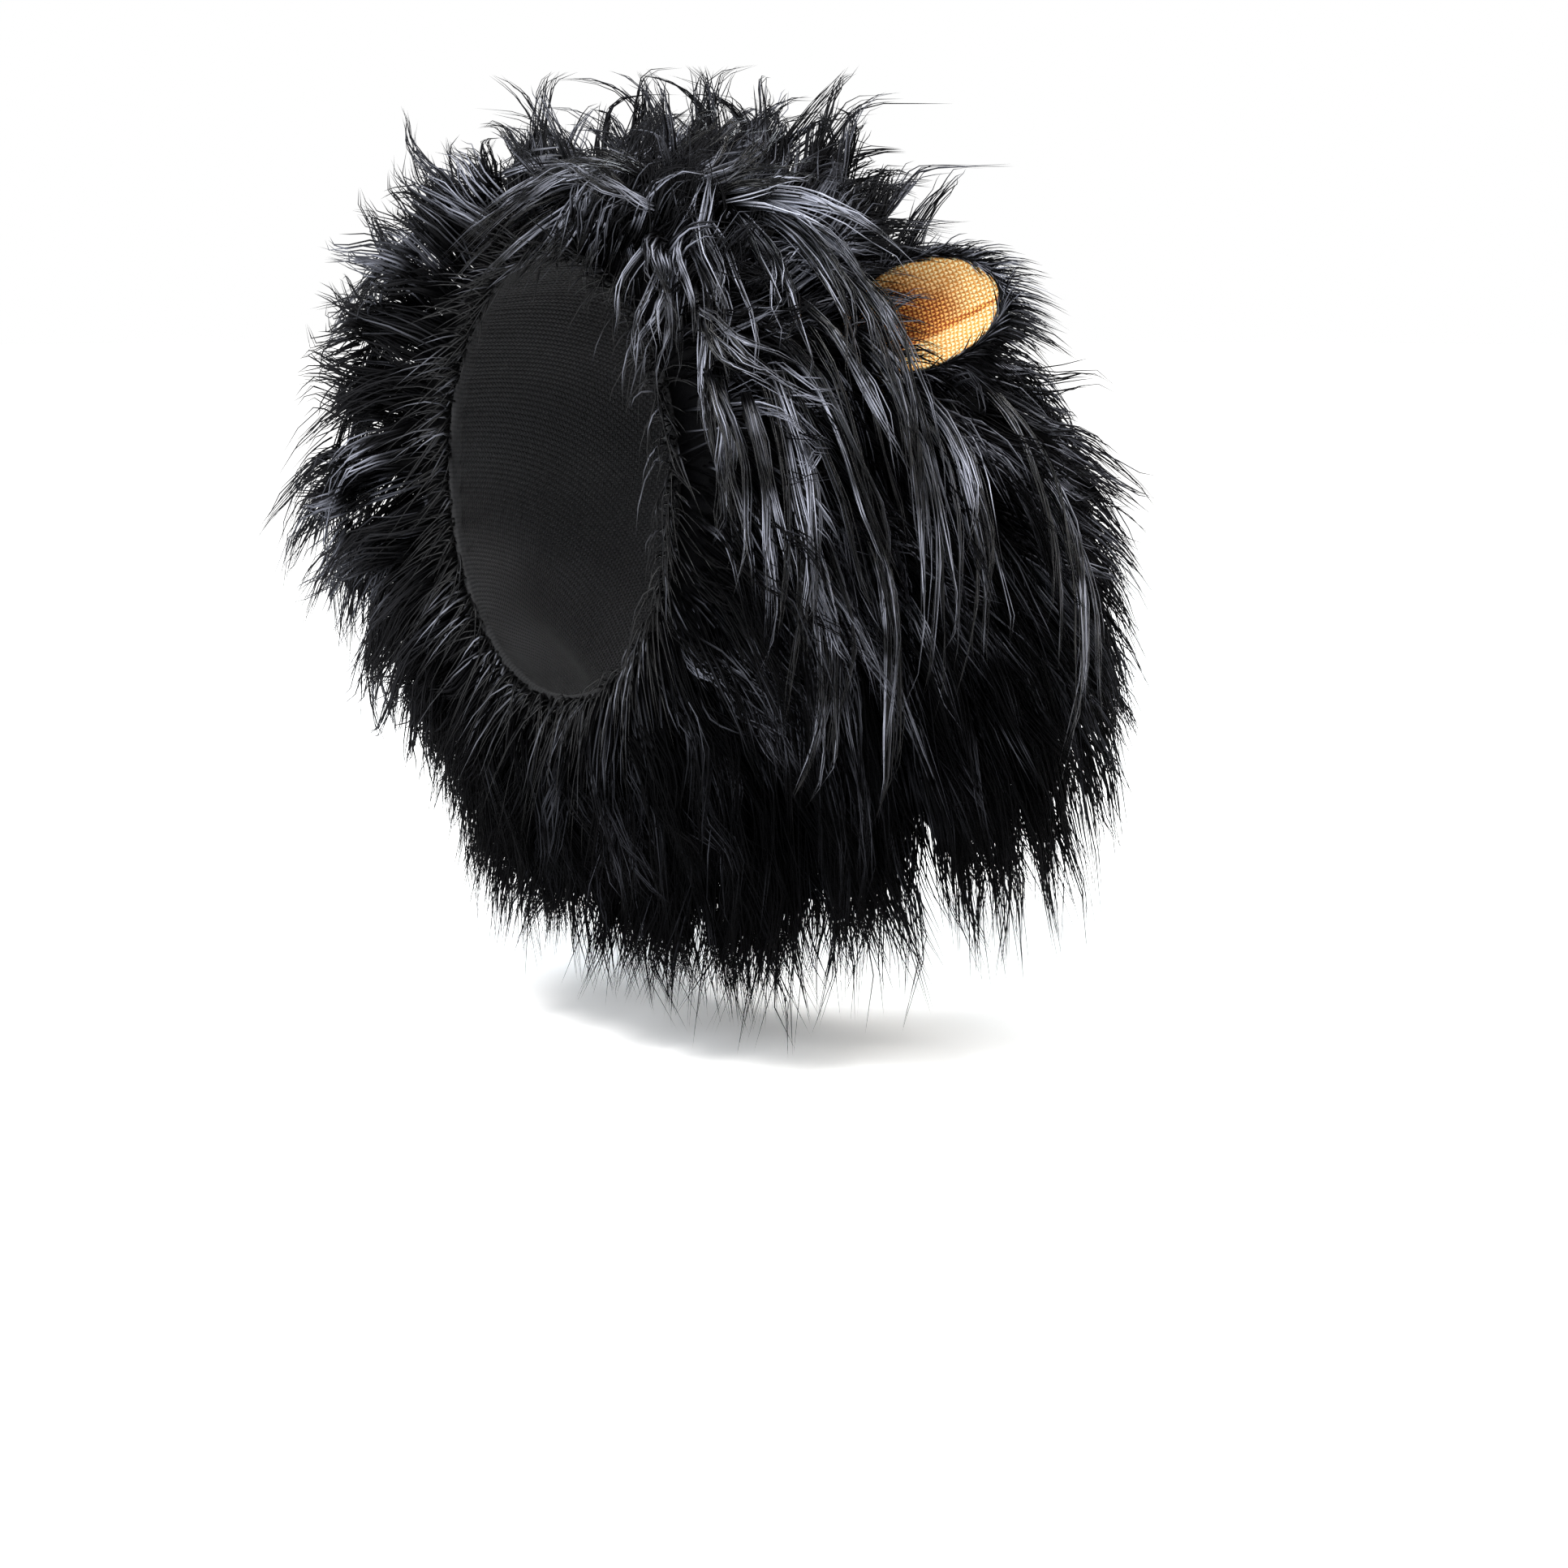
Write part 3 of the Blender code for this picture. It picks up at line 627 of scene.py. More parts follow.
def pile_tone_group():
    """Colour and roughness of pile from how far along its strand a point is, with painted highlights in patches on
    chosen strands and painted backlight and haze on the outer pile.
    """
    name = "Pile tone"
    if name in bpy.data.node_groups:
        return bpy.data.node_groups[name]
    sockets_in = (
        ("Position", "NodeSocketVector"),
        ("Share", "NodeSocketFloat"),
        ("Tone", "NodeSocketFloat"),
        ("Gloss", "NodeSocketFloat"),
        ("Faded", "NodeSocketFloat"),
        ("Root Colour", "NodeSocketColor"),
        ("Body Colour", "NodeSocketColor"),
        ("Faded Colour", "NodeSocketColor"),
        ("Sheen Colour", "NodeSocketColor"),
    )
    group, given, result = new_group(name, sockets_in, (("Colour", "NodeSocketColor"), ("Roughness", "NodeSocketFloat")))
    grown = ranged(group, given.outputs["Share"], 0.0, 0.55)
    # Painted backlight and haze: the body colour is lightened towards a charcoal where the mark asks for it
    painted_backlight_body = mixed_colour(group, given.outputs["Faded"], given.outputs["Body Colour"], given.outputs["Faded Colour"])
    body = mixed_colour(group, grown, given.outputs["Root Colour"], painted_backlight_body)
    # Painted highlight: noise patches, the strands that the tone picks, the gloss and the middle of each strand set
    # where a light colour is painted into the base colour
    highlight_patches = add_node(
        group, "ShaderNodeTexNoise", "highlight_patches", {"Vector": given.outputs["Position"], "Scale": 26.0, "Detail": 3.0}
    )
    patch = ranged(group, highlight_patches.outputs["Fac"], 0.35, 0.68)
    highlight_pick = ranged(group, given.outputs["Tone"], 0.54, 0.88)
    lit = calculate(group, "MULTIPLY", calculate(group, "MULTIPLY", highlight_pick, patch), given.outputs["Gloss"])
    highlight_middle = ranged(group, given.outputs["Share"], 0.05, 0.42)
    tip = ranged(group, given.outputs["Share"], 0.62, 1.0, 1.0, 0.30)
    painted_highlight = calculate(group, "MULTIPLY", lit, calculate(group, "MULTIPLY", highlight_middle, tip))
    colour = mixed_colour(group, painted_highlight, body, given.outputs["Sheen Colour"])
    group.links.new(colour, result.inputs["Colour"])
    rough = ranged(group, given.outputs["Gloss"], 0.0, 1.0, 0.60, 0.30)
    worn = calculate(group, "MULTIPLY", calculate(group, "SUBTRACT", given.outputs["Tone"], 0.5), 0.16)
    group.links.new(calculate(group, "ADD", rough, worn), result.inputs["Roughness"])
    return group


def knit_group():
    """Stitches of a knit in rows and columns: height of the yarn, and how open the gaps between are."""
    name = "Knit stitches"
    if name in bpy.data.node_groups:
        return bpy.data.node_groups[name]
    sockets_in = (("Vector", "NodeSocketVector"), ("Pitch", "NodeSocketFloat"), ("Slant", "NodeSocketFloat"))
    sockets_out = (("Height", "NodeSocketFloat"), ("Gap", "NodeSocketFloat"), ("Yarn", "NodeSocketFloat"))
    group, given, result = new_group(name, sockets_in, sockets_out)
    apart = add_node(group, "ShaderNodeSeparateXYZ", None, {0: given.outputs["Vector"]})
    column = calculate(group, "DIVIDE", apart.outputs[0], given.outputs["Pitch"])
    course = calculate(group, "DIVIDE", apart.outputs[1], given.outputs["Pitch"])
    across = calculate(group, "ABSOLUTE", calculate(group, "SUBTRACT", calculate(group, "FRACT", column), 0.5))
    slanted = calculate(group, "ADD", course, calculate(group, "MULTIPLY", across, given.outputs["Slant"]))
    loop = calculate(group, "SINE", calculate(group, "MULTIPLY", calculate(group, "FRACT", slanted), math.pi))
    wale = calculate(group, "COSINE", calculate(group, "MULTIPLY", across, math.pi))
    height = calculate(group, "ADD", calculate(group, "MULTIPLY", loop, 0.55), calculate(group, "MULTIPLY", wale, 0.45))
    group.links.new(height, result.inputs["Height"])
    group.links.new(ranged(group, height, 0.92, 0.56), result.inputs["Gap"])
    fuzz = add_node(group, "ShaderNodeTexNoise", "yarn", {"Vector": given.outputs["Vector"], "Scale": 900.0, "Detail": 2.0})
    group.links.new(fuzz.outputs["Fac"], result.inputs["Yarn"])
    return group


def new_material(name):
    material = bpy.data.materials.new(name)
    material.use_nodes = True
    tree = material.node_tree
    shader = tree.nodes["Principled BSDF"]
    return material, tree, shader


def placed_group(tree, group, inputs):
    node = tree.nodes.new("ShaderNodeGroup")
    node.node_tree = group
    for key, value in inputs.items():
        if isinstance(value, bpy.types.NodeSocket):
            tree.links.new(value, node.inputs[key])
        else:
            node.inputs[key].default_value = value
    return node


def bumped(tree, shader, height, strength, distance):
    bump = add_node(tree, "ShaderNodeBump", None, {"Height": height, "Strength": strength, "Distance": distance})
    tree.links.new(bump.outputs[0], shader.inputs["Normal"])


def rgba(colour):
    return (*colour, 1.0)


def pile_material(name, pile, marked=True, specular=0.022):
    """Black pile. Strands carry marks, and the pile under them takes even values."""
    if name in bpy.data.materials:
        return bpy.data.materials[name]
    material, tree, shader = new_material(name)
    position = add_node(tree, "ShaderNodeTexCoord").outputs["Object"]
    # Marks on the strands say how far along a strand a point is, which strands carry the painted highlight and how
    # strong it is, how rough they are, and where painted backlight and haze lighten the outer pile
    if marked:
        marks = {
            key: add_node(tree, "ShaderNodeAttribute", key, attribute_name=key).outputs["Fac"]
            for key in ("share", "tone", "gloss", "faded")
        }
    else:
        marks = {"share": 0.12, "tone": 0.3, "gloss": 0.1, "faded": 0.0}
    tone = placed_group(
        tree,
        pile_tone_group(),
        {
            "Position": position,
            "Share": marks["share"],
            "Tone": marks["tone"],
            "Gloss": marks["gloss"],
            "Faded": marks["faded"],
            "Root Colour": rgba(pile.root_colour),
            "Body Colour": rgba(pile.body_colour),
            "Faded Colour": rgba(pile.painted_backlight_colour),
            "Sheen Colour": rgba(pile.painted_highlight_colour),
        },
    )
    tree.links.new(tone.outputs["Colour"], shader.inputs["Base Color"])
    tree.links.new(tone.outputs["Roughness"], shader.inputs["Roughness"])
    shader.inputs["Specular IOR Level"].default_value = specular if marked else 0.02
    shader.inputs["Sheen Weight"].default_value = 0.0
    shader.inputs["Sheen Roughness"].default_value = 0.4
    shader.inputs["Sheen Tint"].default_value = (0.75, 0.82, 1.0, 1.0)
    streaks = add_node(tree, "ShaderNodeTexNoise", "streaks", {"Vector": position, "Scale": 900.0, "Detail": 1.0})
    bumped(tree, shader, streaks.outputs["Fac"], 0.25, 0.0006)
    return material


def glossy_pile(pile):
    return pile_material("glossy black pile", pile, specular=0.27)


def hood_material(hood):
    name = "hood knit"
    if name in bpy.data.materials:
        return bpy.data.materials[name]
    material, tree, shader = new_material(name)
    flat = add_node(tree, "ShaderNodeTexCoord").outputs["UV"]
    knit = placed_group(tree, knit_group(), {"Vector": flat, "Pitch": hood.stitch, "Slant": 1.1})
    dye = add_node(tree, "ShaderNodeTexNoise", "dye", {"Vector": flat, "Scale": 22.0, "Detail": 3.0})
    cloth = mixed_colour(tree, ranged(tree, dye.outputs["Fac"], 0.3, 0.7), rgba(hood.colour), rgba(hood.worn_colour))
    shade = mixed_colour(tree, knit.outputs["Gap"], cloth, (0.003, 0.003, 0.004, 1.0))
    tree.links.new(shade, shader.inputs["Base Color"])
    tree.links.new(ranged(tree, knit.outputs["Yarn"], 0.2, 0.8, 0.70, 0.92), shader.inputs["Roughness"])
    shader.inputs["Specular IOR Level"].default_value = 0.25
    shader.inputs["Sheen Weight"].default_value = 0.04
    shader.inputs["Sheen Roughness"].default_value = 0.5
    bumped(tree, shader, knit.outputs["Height"], 0.9, 0.0009)
    return material


def lining_material(ears):
    """Tan knit mesh with painted shade: deeper orange in the middle of the cup and in the crease of its fold, golden at
    its rim.
    """
    name = "ear lining knit"
    if name in bpy.data.materials:
        return bpy.data.materials[name]
    material, tree, shader = new_material(name)
    flat = add_node(tree, "ShaderNodeTexCoord").outputs["UV"]
    slack = add_node(tree, "ShaderNodeTexNoise", "slack", {"Vector": flat, "Scale": 240.0, "Detail": 1.0})
    pulled = add_node(
        tree,
        "ShaderNodeVectorMath",
        "pulled",
        {0: slack.outputs["Color"], 1: (0.0022, 0.0022, 0.0), 2: flat},
        operation="MULTIPLY_ADD",
    )
    knit = placed_group(tree, knit_group(), {"Vector": pulled.outputs[0], "Pitch": ears.stitch, "Slant": 0.9})
    # The rim mark is painted shade: low in the middle of the cup and in the crease of the fold, high at the rim and on
    # the lip past the fold. Dye noise is added to it.
    rim = add_node(tree, "ShaderNodeAttribute", "rim", attribute_name="rim").outputs["Fac"]
    dye = add_node(tree, "ShaderNodeTexNoise", "dye", {"Vector": flat, "Scale": 60.0, "Detail": 3.0})
    painted_shade_and_dye = calculate(tree, "ADD", rim, calculate(tree, "MULTIPLY", calculate(tree, "SUBTRACT", dye.outputs["Fac"], 0.5), 0.5))
    cup = mixed_colour(tree, ranged(tree, painted_shade_and_dye, 0.30, 0.95), rgba(ears.shaded_cup_colour), rgba(ears.rim_colour))
    hole = mixed_colour(tree, ranged(tree, painted_shade_and_dye, 0.3, 0.9), rgba(ears.shaded_hole_colour), rgba(ears.rim_hole_colour))
    cloth = mixed_colour(tree, knit.outputs["Gap"], cup, hole)
    tree.links.new(cloth, shader.inputs["Base Color"])
    tree.links.new(ranged(tree, knit.outputs["Yarn"], 0.2, 0.8, 0.55, 0.85), shader.inputs["Roughness"])
    shader.inputs["Specular IOR Level"].default_value = 0.3
    shader.inputs["Sheen Weight"].default_value = 0.05
    shader.inputs["Sheen Roughness"].default_value = 0.45
    shader.inputs["Sheen Tint"].default_value = (1.0, 0.86, 0.55, 1.0)
    bumped(tree, shader, knit.outputs["Height"], 1.0, 0.0009)
    return material


def floor_material(stage):
    material, tree, shader = new_material("studio floor")
    position = add_node(tree, "ShaderNodeTexCoord").outputs["Object"]
    cloud = add_node(tree, "ShaderNodeTexNoise", "cloud", {"Vector": position, "Scale": 1.5, "Detail": 4.0})
    light = tuple(value * 0.97 for value in stage.floor_colour)
    colour = mixed_colour(tree, cloud.outputs["Fac"], rgba(light), rgba(stage.floor_colour))
    tree.links.new(colour, shader.inputs["Base Color"])
    shader.inputs["Roughness"].default_value = 0.9
    shader.inputs["Specular IOR Level"].default_value = 0.1
    shader.inputs["Emission Color"].default_value = (1.0, 1.0, 1.0, 1.0)
    shader.inputs["Emission Strength"].default_value = 0.20
    return material


# Settings


class PileSettings(PropertyGroup):
    strand_width: FloatProperty(
        name="Strand width", description="Width of a strand at its root", default=0.0013, min=0.0003, unit="LENGTH"
    )
    wisp_radius: FloatProperty(
        name="Wisp radius", description="Radius of a wisp at its root", default=0.0085, min=0.001, unit="LENGTH"
    )
    gather: FloatProperty(
        name="Gather", description="How far wisps draw into main locks", default=0.62, min=0.0, max=1.0, subtype="FACTOR"
    )
    fall: FloatProperty(
        name="Fall", description="How far wisps hang below the main locks", default=1.0, min=0.0, max=1.5, subtype="FACTOR"
    )
    root_colour: FloatVectorProperty(
        name="Root colour", description="Pile near the cloth", default=(0.0010, 0.0010, 0.0012), size=3, subtype="COLOR"
    )
    body_colour: FloatVectorProperty(
        name="Body colour", description="Most of the pile", default=(0.0015, 0.0015, 0.0018), size=3, subtype="COLOR"
    )
    # Painted backlight and haze: a lighter charcoal put into the colour of the crown and the outer ruff
    painted_backlight_colour: FloatVectorProperty(
        name="Painted backlight colour", description="Matte outer pile", default=(0.014, 0.014, 0.0155), size=3, subtype="COLOR"
    )
    # Painted highlight: a silver-blue put into the base colour of chosen strands, where light would glint on them
    painted_highlight_colour: FloatVectorProperty(
        name="Painted highlight colour", description="Lightest strands", default=(0.50, 0.52, 0.62), size=3, subtype="COLOR"
    )


class HoodSettings(PropertyGroup):
    stitch: FloatProperty(name="Stitch", description="Pitch of the knit", default=0.0024, min=0.0005, unit="LENGTH")
    colour: FloatVectorProperty(
        name="Colour", description="Dyed knit", default=(0.010, 0.010, 0.0115), size=3, subtype="COLOR"
    )
    worn_colour: FloatVectorProperty(
        name="Worn colour", description="Knit where it has rubbed", default=(0.020, 0.020, 0.0225), size=3, subtype="COLOR"
    )


class EarSettings(PropertyGroup):
    stitch: FloatProperty(name="Stitch", description="Pitch of the lining", default=0.0023, min=0.0005, unit="LENGTH")
    fringe: IntProperty(name="Fringe", description="Strands round and behind one ear", default=800, min=0)
    shaded_cup_colour: FloatVectorProperty(
        # Painted shade: the lining runs from a deeper orange in the cup to light gold at the rim, and its gaps likewise
        name="Shaded cup colour", description="Lining in the cup", default=(0.96, 0.46, 0.11), size=3, subtype="COLOR"
    )
    rim_colour: FloatVectorProperty(
        name="Rim colour", description="Lining at the rim", default=(1.0, 0.89, 0.52), size=3, subtype="COLOR"
    )
    shaded_hole_colour: FloatVectorProperty(
        name="Shaded hole colour", description="Gaps in the cup", default=(0.30, 0.056, 0.008), size=3, subtype="COLOR"
    )
    rim_hole_colour: FloatVectorProperty(
        name="Rim hole colour", description="Gaps at the rim", default=(0.80, 0.36, 0.08), size=3, subtype="COLOR"
    )


class StageSettings(PropertyGroup):
    azimuth: FloatProperty(name="Azimuth", description="Camera's turn", default=math.radians(47), subtype="ANGLE")
    elevation: FloatProperty(name="Elevation", description="Camera's height", default=math.radians(9), subtype="ANGLE")
    distance: FloatProperty(name="Distance", description="Camera to wig", default=1.770, min=0.5, unit="LENGTH")
    lens: FloatProperty(name="Lens", description="Focal length in millimetres", default=85.0, min=20.0)
    aim: FloatVectorProperty(
        name="Aim", description="Point the camera faces", default=(0.0900, 0.0180, -0.2525), size=3, subtype="XYZ"
    )
    floor_colour: FloatVectorProperty(
        name="Floor colour", description="Pale floor", default=(0.89, 0.89, 0.885), size=3, subtype="COLOR"
    )


# Operators


class MakeHood(Operator):
    """Make the knit hood with a rolled hem at the face and at the neck"""

    bl_idname = "mane_wig.make_hood"
    bl_label = "Knit hood"

    def execute(self, context):
        material = hood_material(context.scene.mane_hood)

        def rolled(u, v):
            around = 2 * math.pi * u
            low, high = 0.22, 0.78
            if low < v < high:
                station = (v - low) / (high - low)
                slack = math.sin(math.pi * station) ** 0.6
                folds = math.sin(5 * around + 4.0 * station + 1.3 * math.sin(3 * around)) + math.sin(11 * around - 7 * station)
                gathers = math.exp(-station / 0.10) * math.sin(46 * around + math.sin(9 * around))
                return Vector(hood_place(station, around, -0.0022 * slack * (2 + folds) - 0.0009 * (1 + gathers)))
            station, turn = (0.0, v / low) if v <= low else (1.0, (1 - v) / (1 - high))
            middle = Vector(hood_place(station, around, CLOTH / 2))
            out = Vector(outward(station, around))
            _, to_face = ring_axes(station)
            beyond = Vector(to_face) * (1 if station == 0 else -1)
            angle = 1.5 * math.pi * (1 - turn)
            roll = (-out * math.cos(angle) + beyond * math.sin(angle)) * HEM_ROLL / 2
            return middle + roll

        def flat(u, v):
            return (u * 2 * math.pi * HOOD_RADIUS, v * HOOD_DEPTH / 0.56)

        data = grid_mesh("hood_knit", 132, 44, rolled, flat)
        faces_towards(data, hood_place(0.5, 0.0, -0.1), outwards=False)
        hood = piece_from("hood_knit", data, 1, ["hood_backing"], material)
        thickened(hood, 0.0009, -1.0)
        return {"FINISHED"}


class MakeUnderpile(Operator):
    """Make the dense dark pile under the strands, with a core in each main lock"""

    bl_idname = "mane_wig.make_underpile"
    bl_label = "Underpile"

    def execute(self, context):
        material = pile_material("underpile", context.scene.mane_pile, marked=False)
        for label, side in (("left", 1), ("right", -1)):
            self.make_half(label, side, material)
        return {"FINISHED"}

    def make_half(self, label, side, material):
        columns, rows = 44, 40
        inner = 14
        chance = np.random.default_rng(40 + side)
        lumps = chance.random((columns + 1, rows + 1))

        def place(u, v):
            column, row = round(u * columns), round(v * rows)
            around = math.pi * u
            shift = Vector((SEAM_GAP / 10, 0.0, 0.0))
            if row % rows <= inner:
                share = (row % rows) / inner
                offset = (CLOTH + HEM_ROLL) / 2 if share in (0.0, 1.0) else CLOTH
                return Vector(hood_place(share, around, offset + 0.0004)) + shift
            share = 1 - (row - inner - 1) / (rows - inner - 2) if row < rows - 1 else 0.0
            at_seam = column in (0, columns)
            near_face = 1 - eased(min(1.0, share / 0.16))
            depth = UNDERPILE_SHARE - 0.24 * near_face + (0.0 if at_seam else 0.05 * (lumps[column, row] - 0.5))
            spot = np.array([share]), np.array([around])
            skins = pile_paths(*spot, depth * np.linspace(1, 0.06, 16)[None], side, np.ones(1))[0]
            clear = ~in_ear_room(skins, -0.25, 0.080, 0.016)
            return Vector(skins[clear.argmax()] if clear.any() else skins[-1]) + shift

        def flat(u, v):
            return (u * math.pi * HOOD_RADIUS, v * 2 * HOOD_DEPTH)

        data = grid_mesh(f"underpile_{label}", columns, rows, place, flat)
        mesh = bmesh.new()
        mesh.from_mesh(data)
        bmesh.ops.remove_doubles(mesh, verts=mesh.verts, dist=1e-6)
        bmesh.ops.holes_fill(mesh, edges=[edge for edge in mesh.edges if edge.is_boundary], sides=0)
        bmesh.ops.recalc_face_normals(mesh, faces=mesh.faces)
        mesh.to_mesh(data)
        mesh.free()
        piece_from(f"underpile_{label}", data, side, [f"mane_{label}"], material)

        locks = main_locks(side)
        segments = 7
        shares = np.linspace(0, 0.62, segments + 1)
        grown = mix(locks[4][:, None], 1.0, shares[None])
        paths = lock_paths(locks, grown, side)
        keep = ~in_ear_room(paths, 0.0, 0.060, 0.012).any(axis=1)
        halves = mix(locks[5][:, None], LOCK_TIP, (shares[None] / 0.62) ** 1.2) / 2 * 0.50
        paths[..., 0] = np.maximum(paths[..., 0], halves + 0.001)
        cores = joined_forms(f"lock_cores_{label}", paths[keep], halves[keep], 6, {}, flatness=0.6)
        piece_from(f"lock_cores_{label}", cores, side, [f"mane_{label}"], material)


class MakeMane(Operator):
    """Make the strands of the mane, gathered in wisps and main locks, one piece for each zone"""

    bl_idname = "mane_wig.make_mane"
    bl_label = "Mane strands"

    def execute(self, context):
        pile = context.scene.mane_pile
        for number, zone in enumerate(ZONES):
            data = self.zone_strands(zone, pile, np.random.default_rng(100 + number))
            label = "left" if zone.side > 0 else "right"
            material = pile_material("black pile", pile)
            piece_from(zone.name, data, zone.side, [f"mane_{label}"], material)
        return {"FINISHED"}

    def zone_strands(self, zone, pile, chance):
        order = np.arange(zone.wisps)
        station = mix(zone.first, zone.last, (0.5 + order * 0.7548776662) % 1)
        around = np.radians(mix(*zone.degrees, (0.5 + order * 0.5698402910) % 1))
        locks = main_locks(zone.side)
        apart = ((station[:, None] - locks[0]) * HOOD_DEPTH) ** 2 + ((around[:, None] - locks[1]) * HOOD_RADIUS) ** 2
        nearest = apart.argmin(axis=1)
        low = mix(*zone.rooted, chance.random(zone.wisps))
        shares = mix(low[:, None], 1.0, np.linspace(0, 1, GUIDE_STEPS)[None])
        scale = mix(0.86, 1.17, chance.random(zone.wisps) ** 0.8) * (1 - 0.14 * np.clip((around - 2.4) / 0.4, 0, 1))
        if zone.side < 0:
            scale = scale * (1 + 0.16 * np.clip(1 - np.abs(around - 1.55) / 0.75, 0, 1))
            scale = scale * (1 - 0.12 * np.clip((around - 2.1) / 0.4, 0, 1))
        else:
            scale = scale * (1 + 0.05 * np.clip(1 - np.abs(around - 2.1) / 0.5, 0, 1) * (station > 0.3))
        scale = scale * (1 + 0.42 * np.clip(1 - around / 0.9, 0, 1) * chance.random(zone.wisps))
        scale = scale * (1 + 0.14 * np.sin(around) ** 6)
        own = pile_paths(station, around, shares, zone.side, scale)
        gathered = lock_paths(locks[:, nearest], shares, zone.side)
        length, _, _, _ = pile_at(station, around, zone.side)
        pull = pile.gather * mix(0.5, 1.4, chance.random(zone.wisps)) * (1.0 if zone.side > 0 else 1.3)
        pull = pull * mix(1.0, 0.35, np.clip((around - 2.7) / 0.4, 0, 1))
        if zone.name == "pile_left_low":
            pull = pull * 0.25
            scale = scale * 1.08
            own = pile_paths(station, around, shares, zone.side, scale)
        ruff = zone.rooted[0] < 0.1
        guides = own + (gathered - own) * np.minimum(1, pull[:, None] * shares ** (0.8 if ruff else 1.3))[..., None]

        sweep = unit(hood_place(station, around + 0.05) - hood_place(station, around - 0.05))
        phase = chance.random(zone.wisps)[:, None] * 2 * math.pi
        wave = 0.007 * shares * np.sin(phase + mix(1.6, 3.6, chance.random(zone.wisps))[:, None] * math.pi * shares)
        guides += sweep[:, None] * wave[..., None] * (1 + 0.8 * np.clip((around - 1.9) / 0.8, 0, 1))[:, None, None]
        crown = np.clip(1 - around / 0.9, 0, 1)
        beside = np.sin(around) ** 2
        fall = pile.fall * zone.fall * chance.random(zone.wisps) ** 1.6 * mix(0.12, 1.0, beside)
        below = np.clip((around - 1.5) / 0.6, 0, 1)
        fall = fall * (1 - 0.85 * below)
        sunk = ((fall * length)[:, None] * shares**2.2)[..., None]
        guides += DOWN * sunk - outward(station, around)[:, None] * sunk * 0.30
        _, to_face = ring_axes(station)
        bow = 0.020 * chance.random(zone.wisps) * np.clip(1 - station / 0.12, 0, 1)
        guides += to_face[:, None] * (bow[:, None] * np.sin(math.pi * shares))[..., None]
        astray = unit(chance.standard_normal((zone.wisps, 3)))
        wander = np.where((around < 0.35) & (station > 0.45), 0.30, 0.24 if ruff else 0.11)
        guides += astray[:, None] * (wander[:, None] * length[:, None] * (shares - low[:, None]) ** 1.3)[..., None]
        comb = 0.16 * mix(-0.3, 1.0, chance.random(zone.wisps)) * beside * (station < 0.5)
        guides += BACK * ((comb * length)[:, None] * shares**2)[..., None]
        if zone.side < 0:
            forward = 0.022 * np.sin(around) ** 4 * np.clip(1 - station / 0.45, 0, 1)
            guides += to_face[:, None] * (forward[:, None] * shares**1.6)[..., None]
        curly = crown * (station > 0.12) * mix(0.3, 1.0, chance.random(zone.wisps))
        turns = phase + mix(2.0, 5.5, chance.random(zone.wisps))[:, None] * shares**2
        curl = (0.020 * curly)[:, None] * shares**3
        guides += sweep[:, None] * (np.sin(turns) * curl)[..., None] + BACK * (np.cos(turns) * curl)[..., None]

        radius = pile.wisp_radius * mix(0.8, 1.25, chance.random(zone.wisps))
        paths, owner = strands_round(guides, radius, zone.strands, zone.segments, chance)
        near_seam = np.minimum(around, math.pi - around)[owner][:, None] < 0.5
        paths[..., 0] = np.where(near_seam, paths[..., 0], np.maximum(paths[..., 0], 0.0005))
        paths, keep = ended_at_ear(within_box(paths))
        paths, owner = paths[keep], owner[keep]
        # Tone picks which wisps carry the painted highlight, mostly whole wisps near one lock, and varies roughness
        by_lock = chance.random(locks.shape[1])[nearest]
        tone = (by_lock * 0.30 + chance.random(zone.wisps) * 0.50)[owner] + chance.random(len(owner)) * 0.20
        # Painted highlight is stronger, and roughness lower, on higher strands where light falls from above, and on
        # zones with more gloss
        height = eased(np.clip((guides[:, 8, 2] + 0.27) / 0.17, 0, 1))
        gloss = np.clip(zone.gloss * mix(0.7, 1.3, chance.random(zone.wisps)) * mix(0.12, 1.0, height), 0, 1)[owner]
        # Painted backlight and haze: lighter pile near the crown on the left half, and over all but the lowest part of
        # the right half
        if zone.side > 0:
            faded = np.clip(1.15 - np.degrees(around) / 62, 0, 0.9)
        else:
            faded = 0.85 * (1 - np.clip((np.degrees(around) - 120) / 45, 0, 1))
        halves = strand_halves(len(owner), zone.segments, pile.strand_width, chance)
        marks = {"tone": tone, "gloss": gloss, "faded": faded[owner]}
        return joined_forms(zone.name, paths, halves, 3, marks)


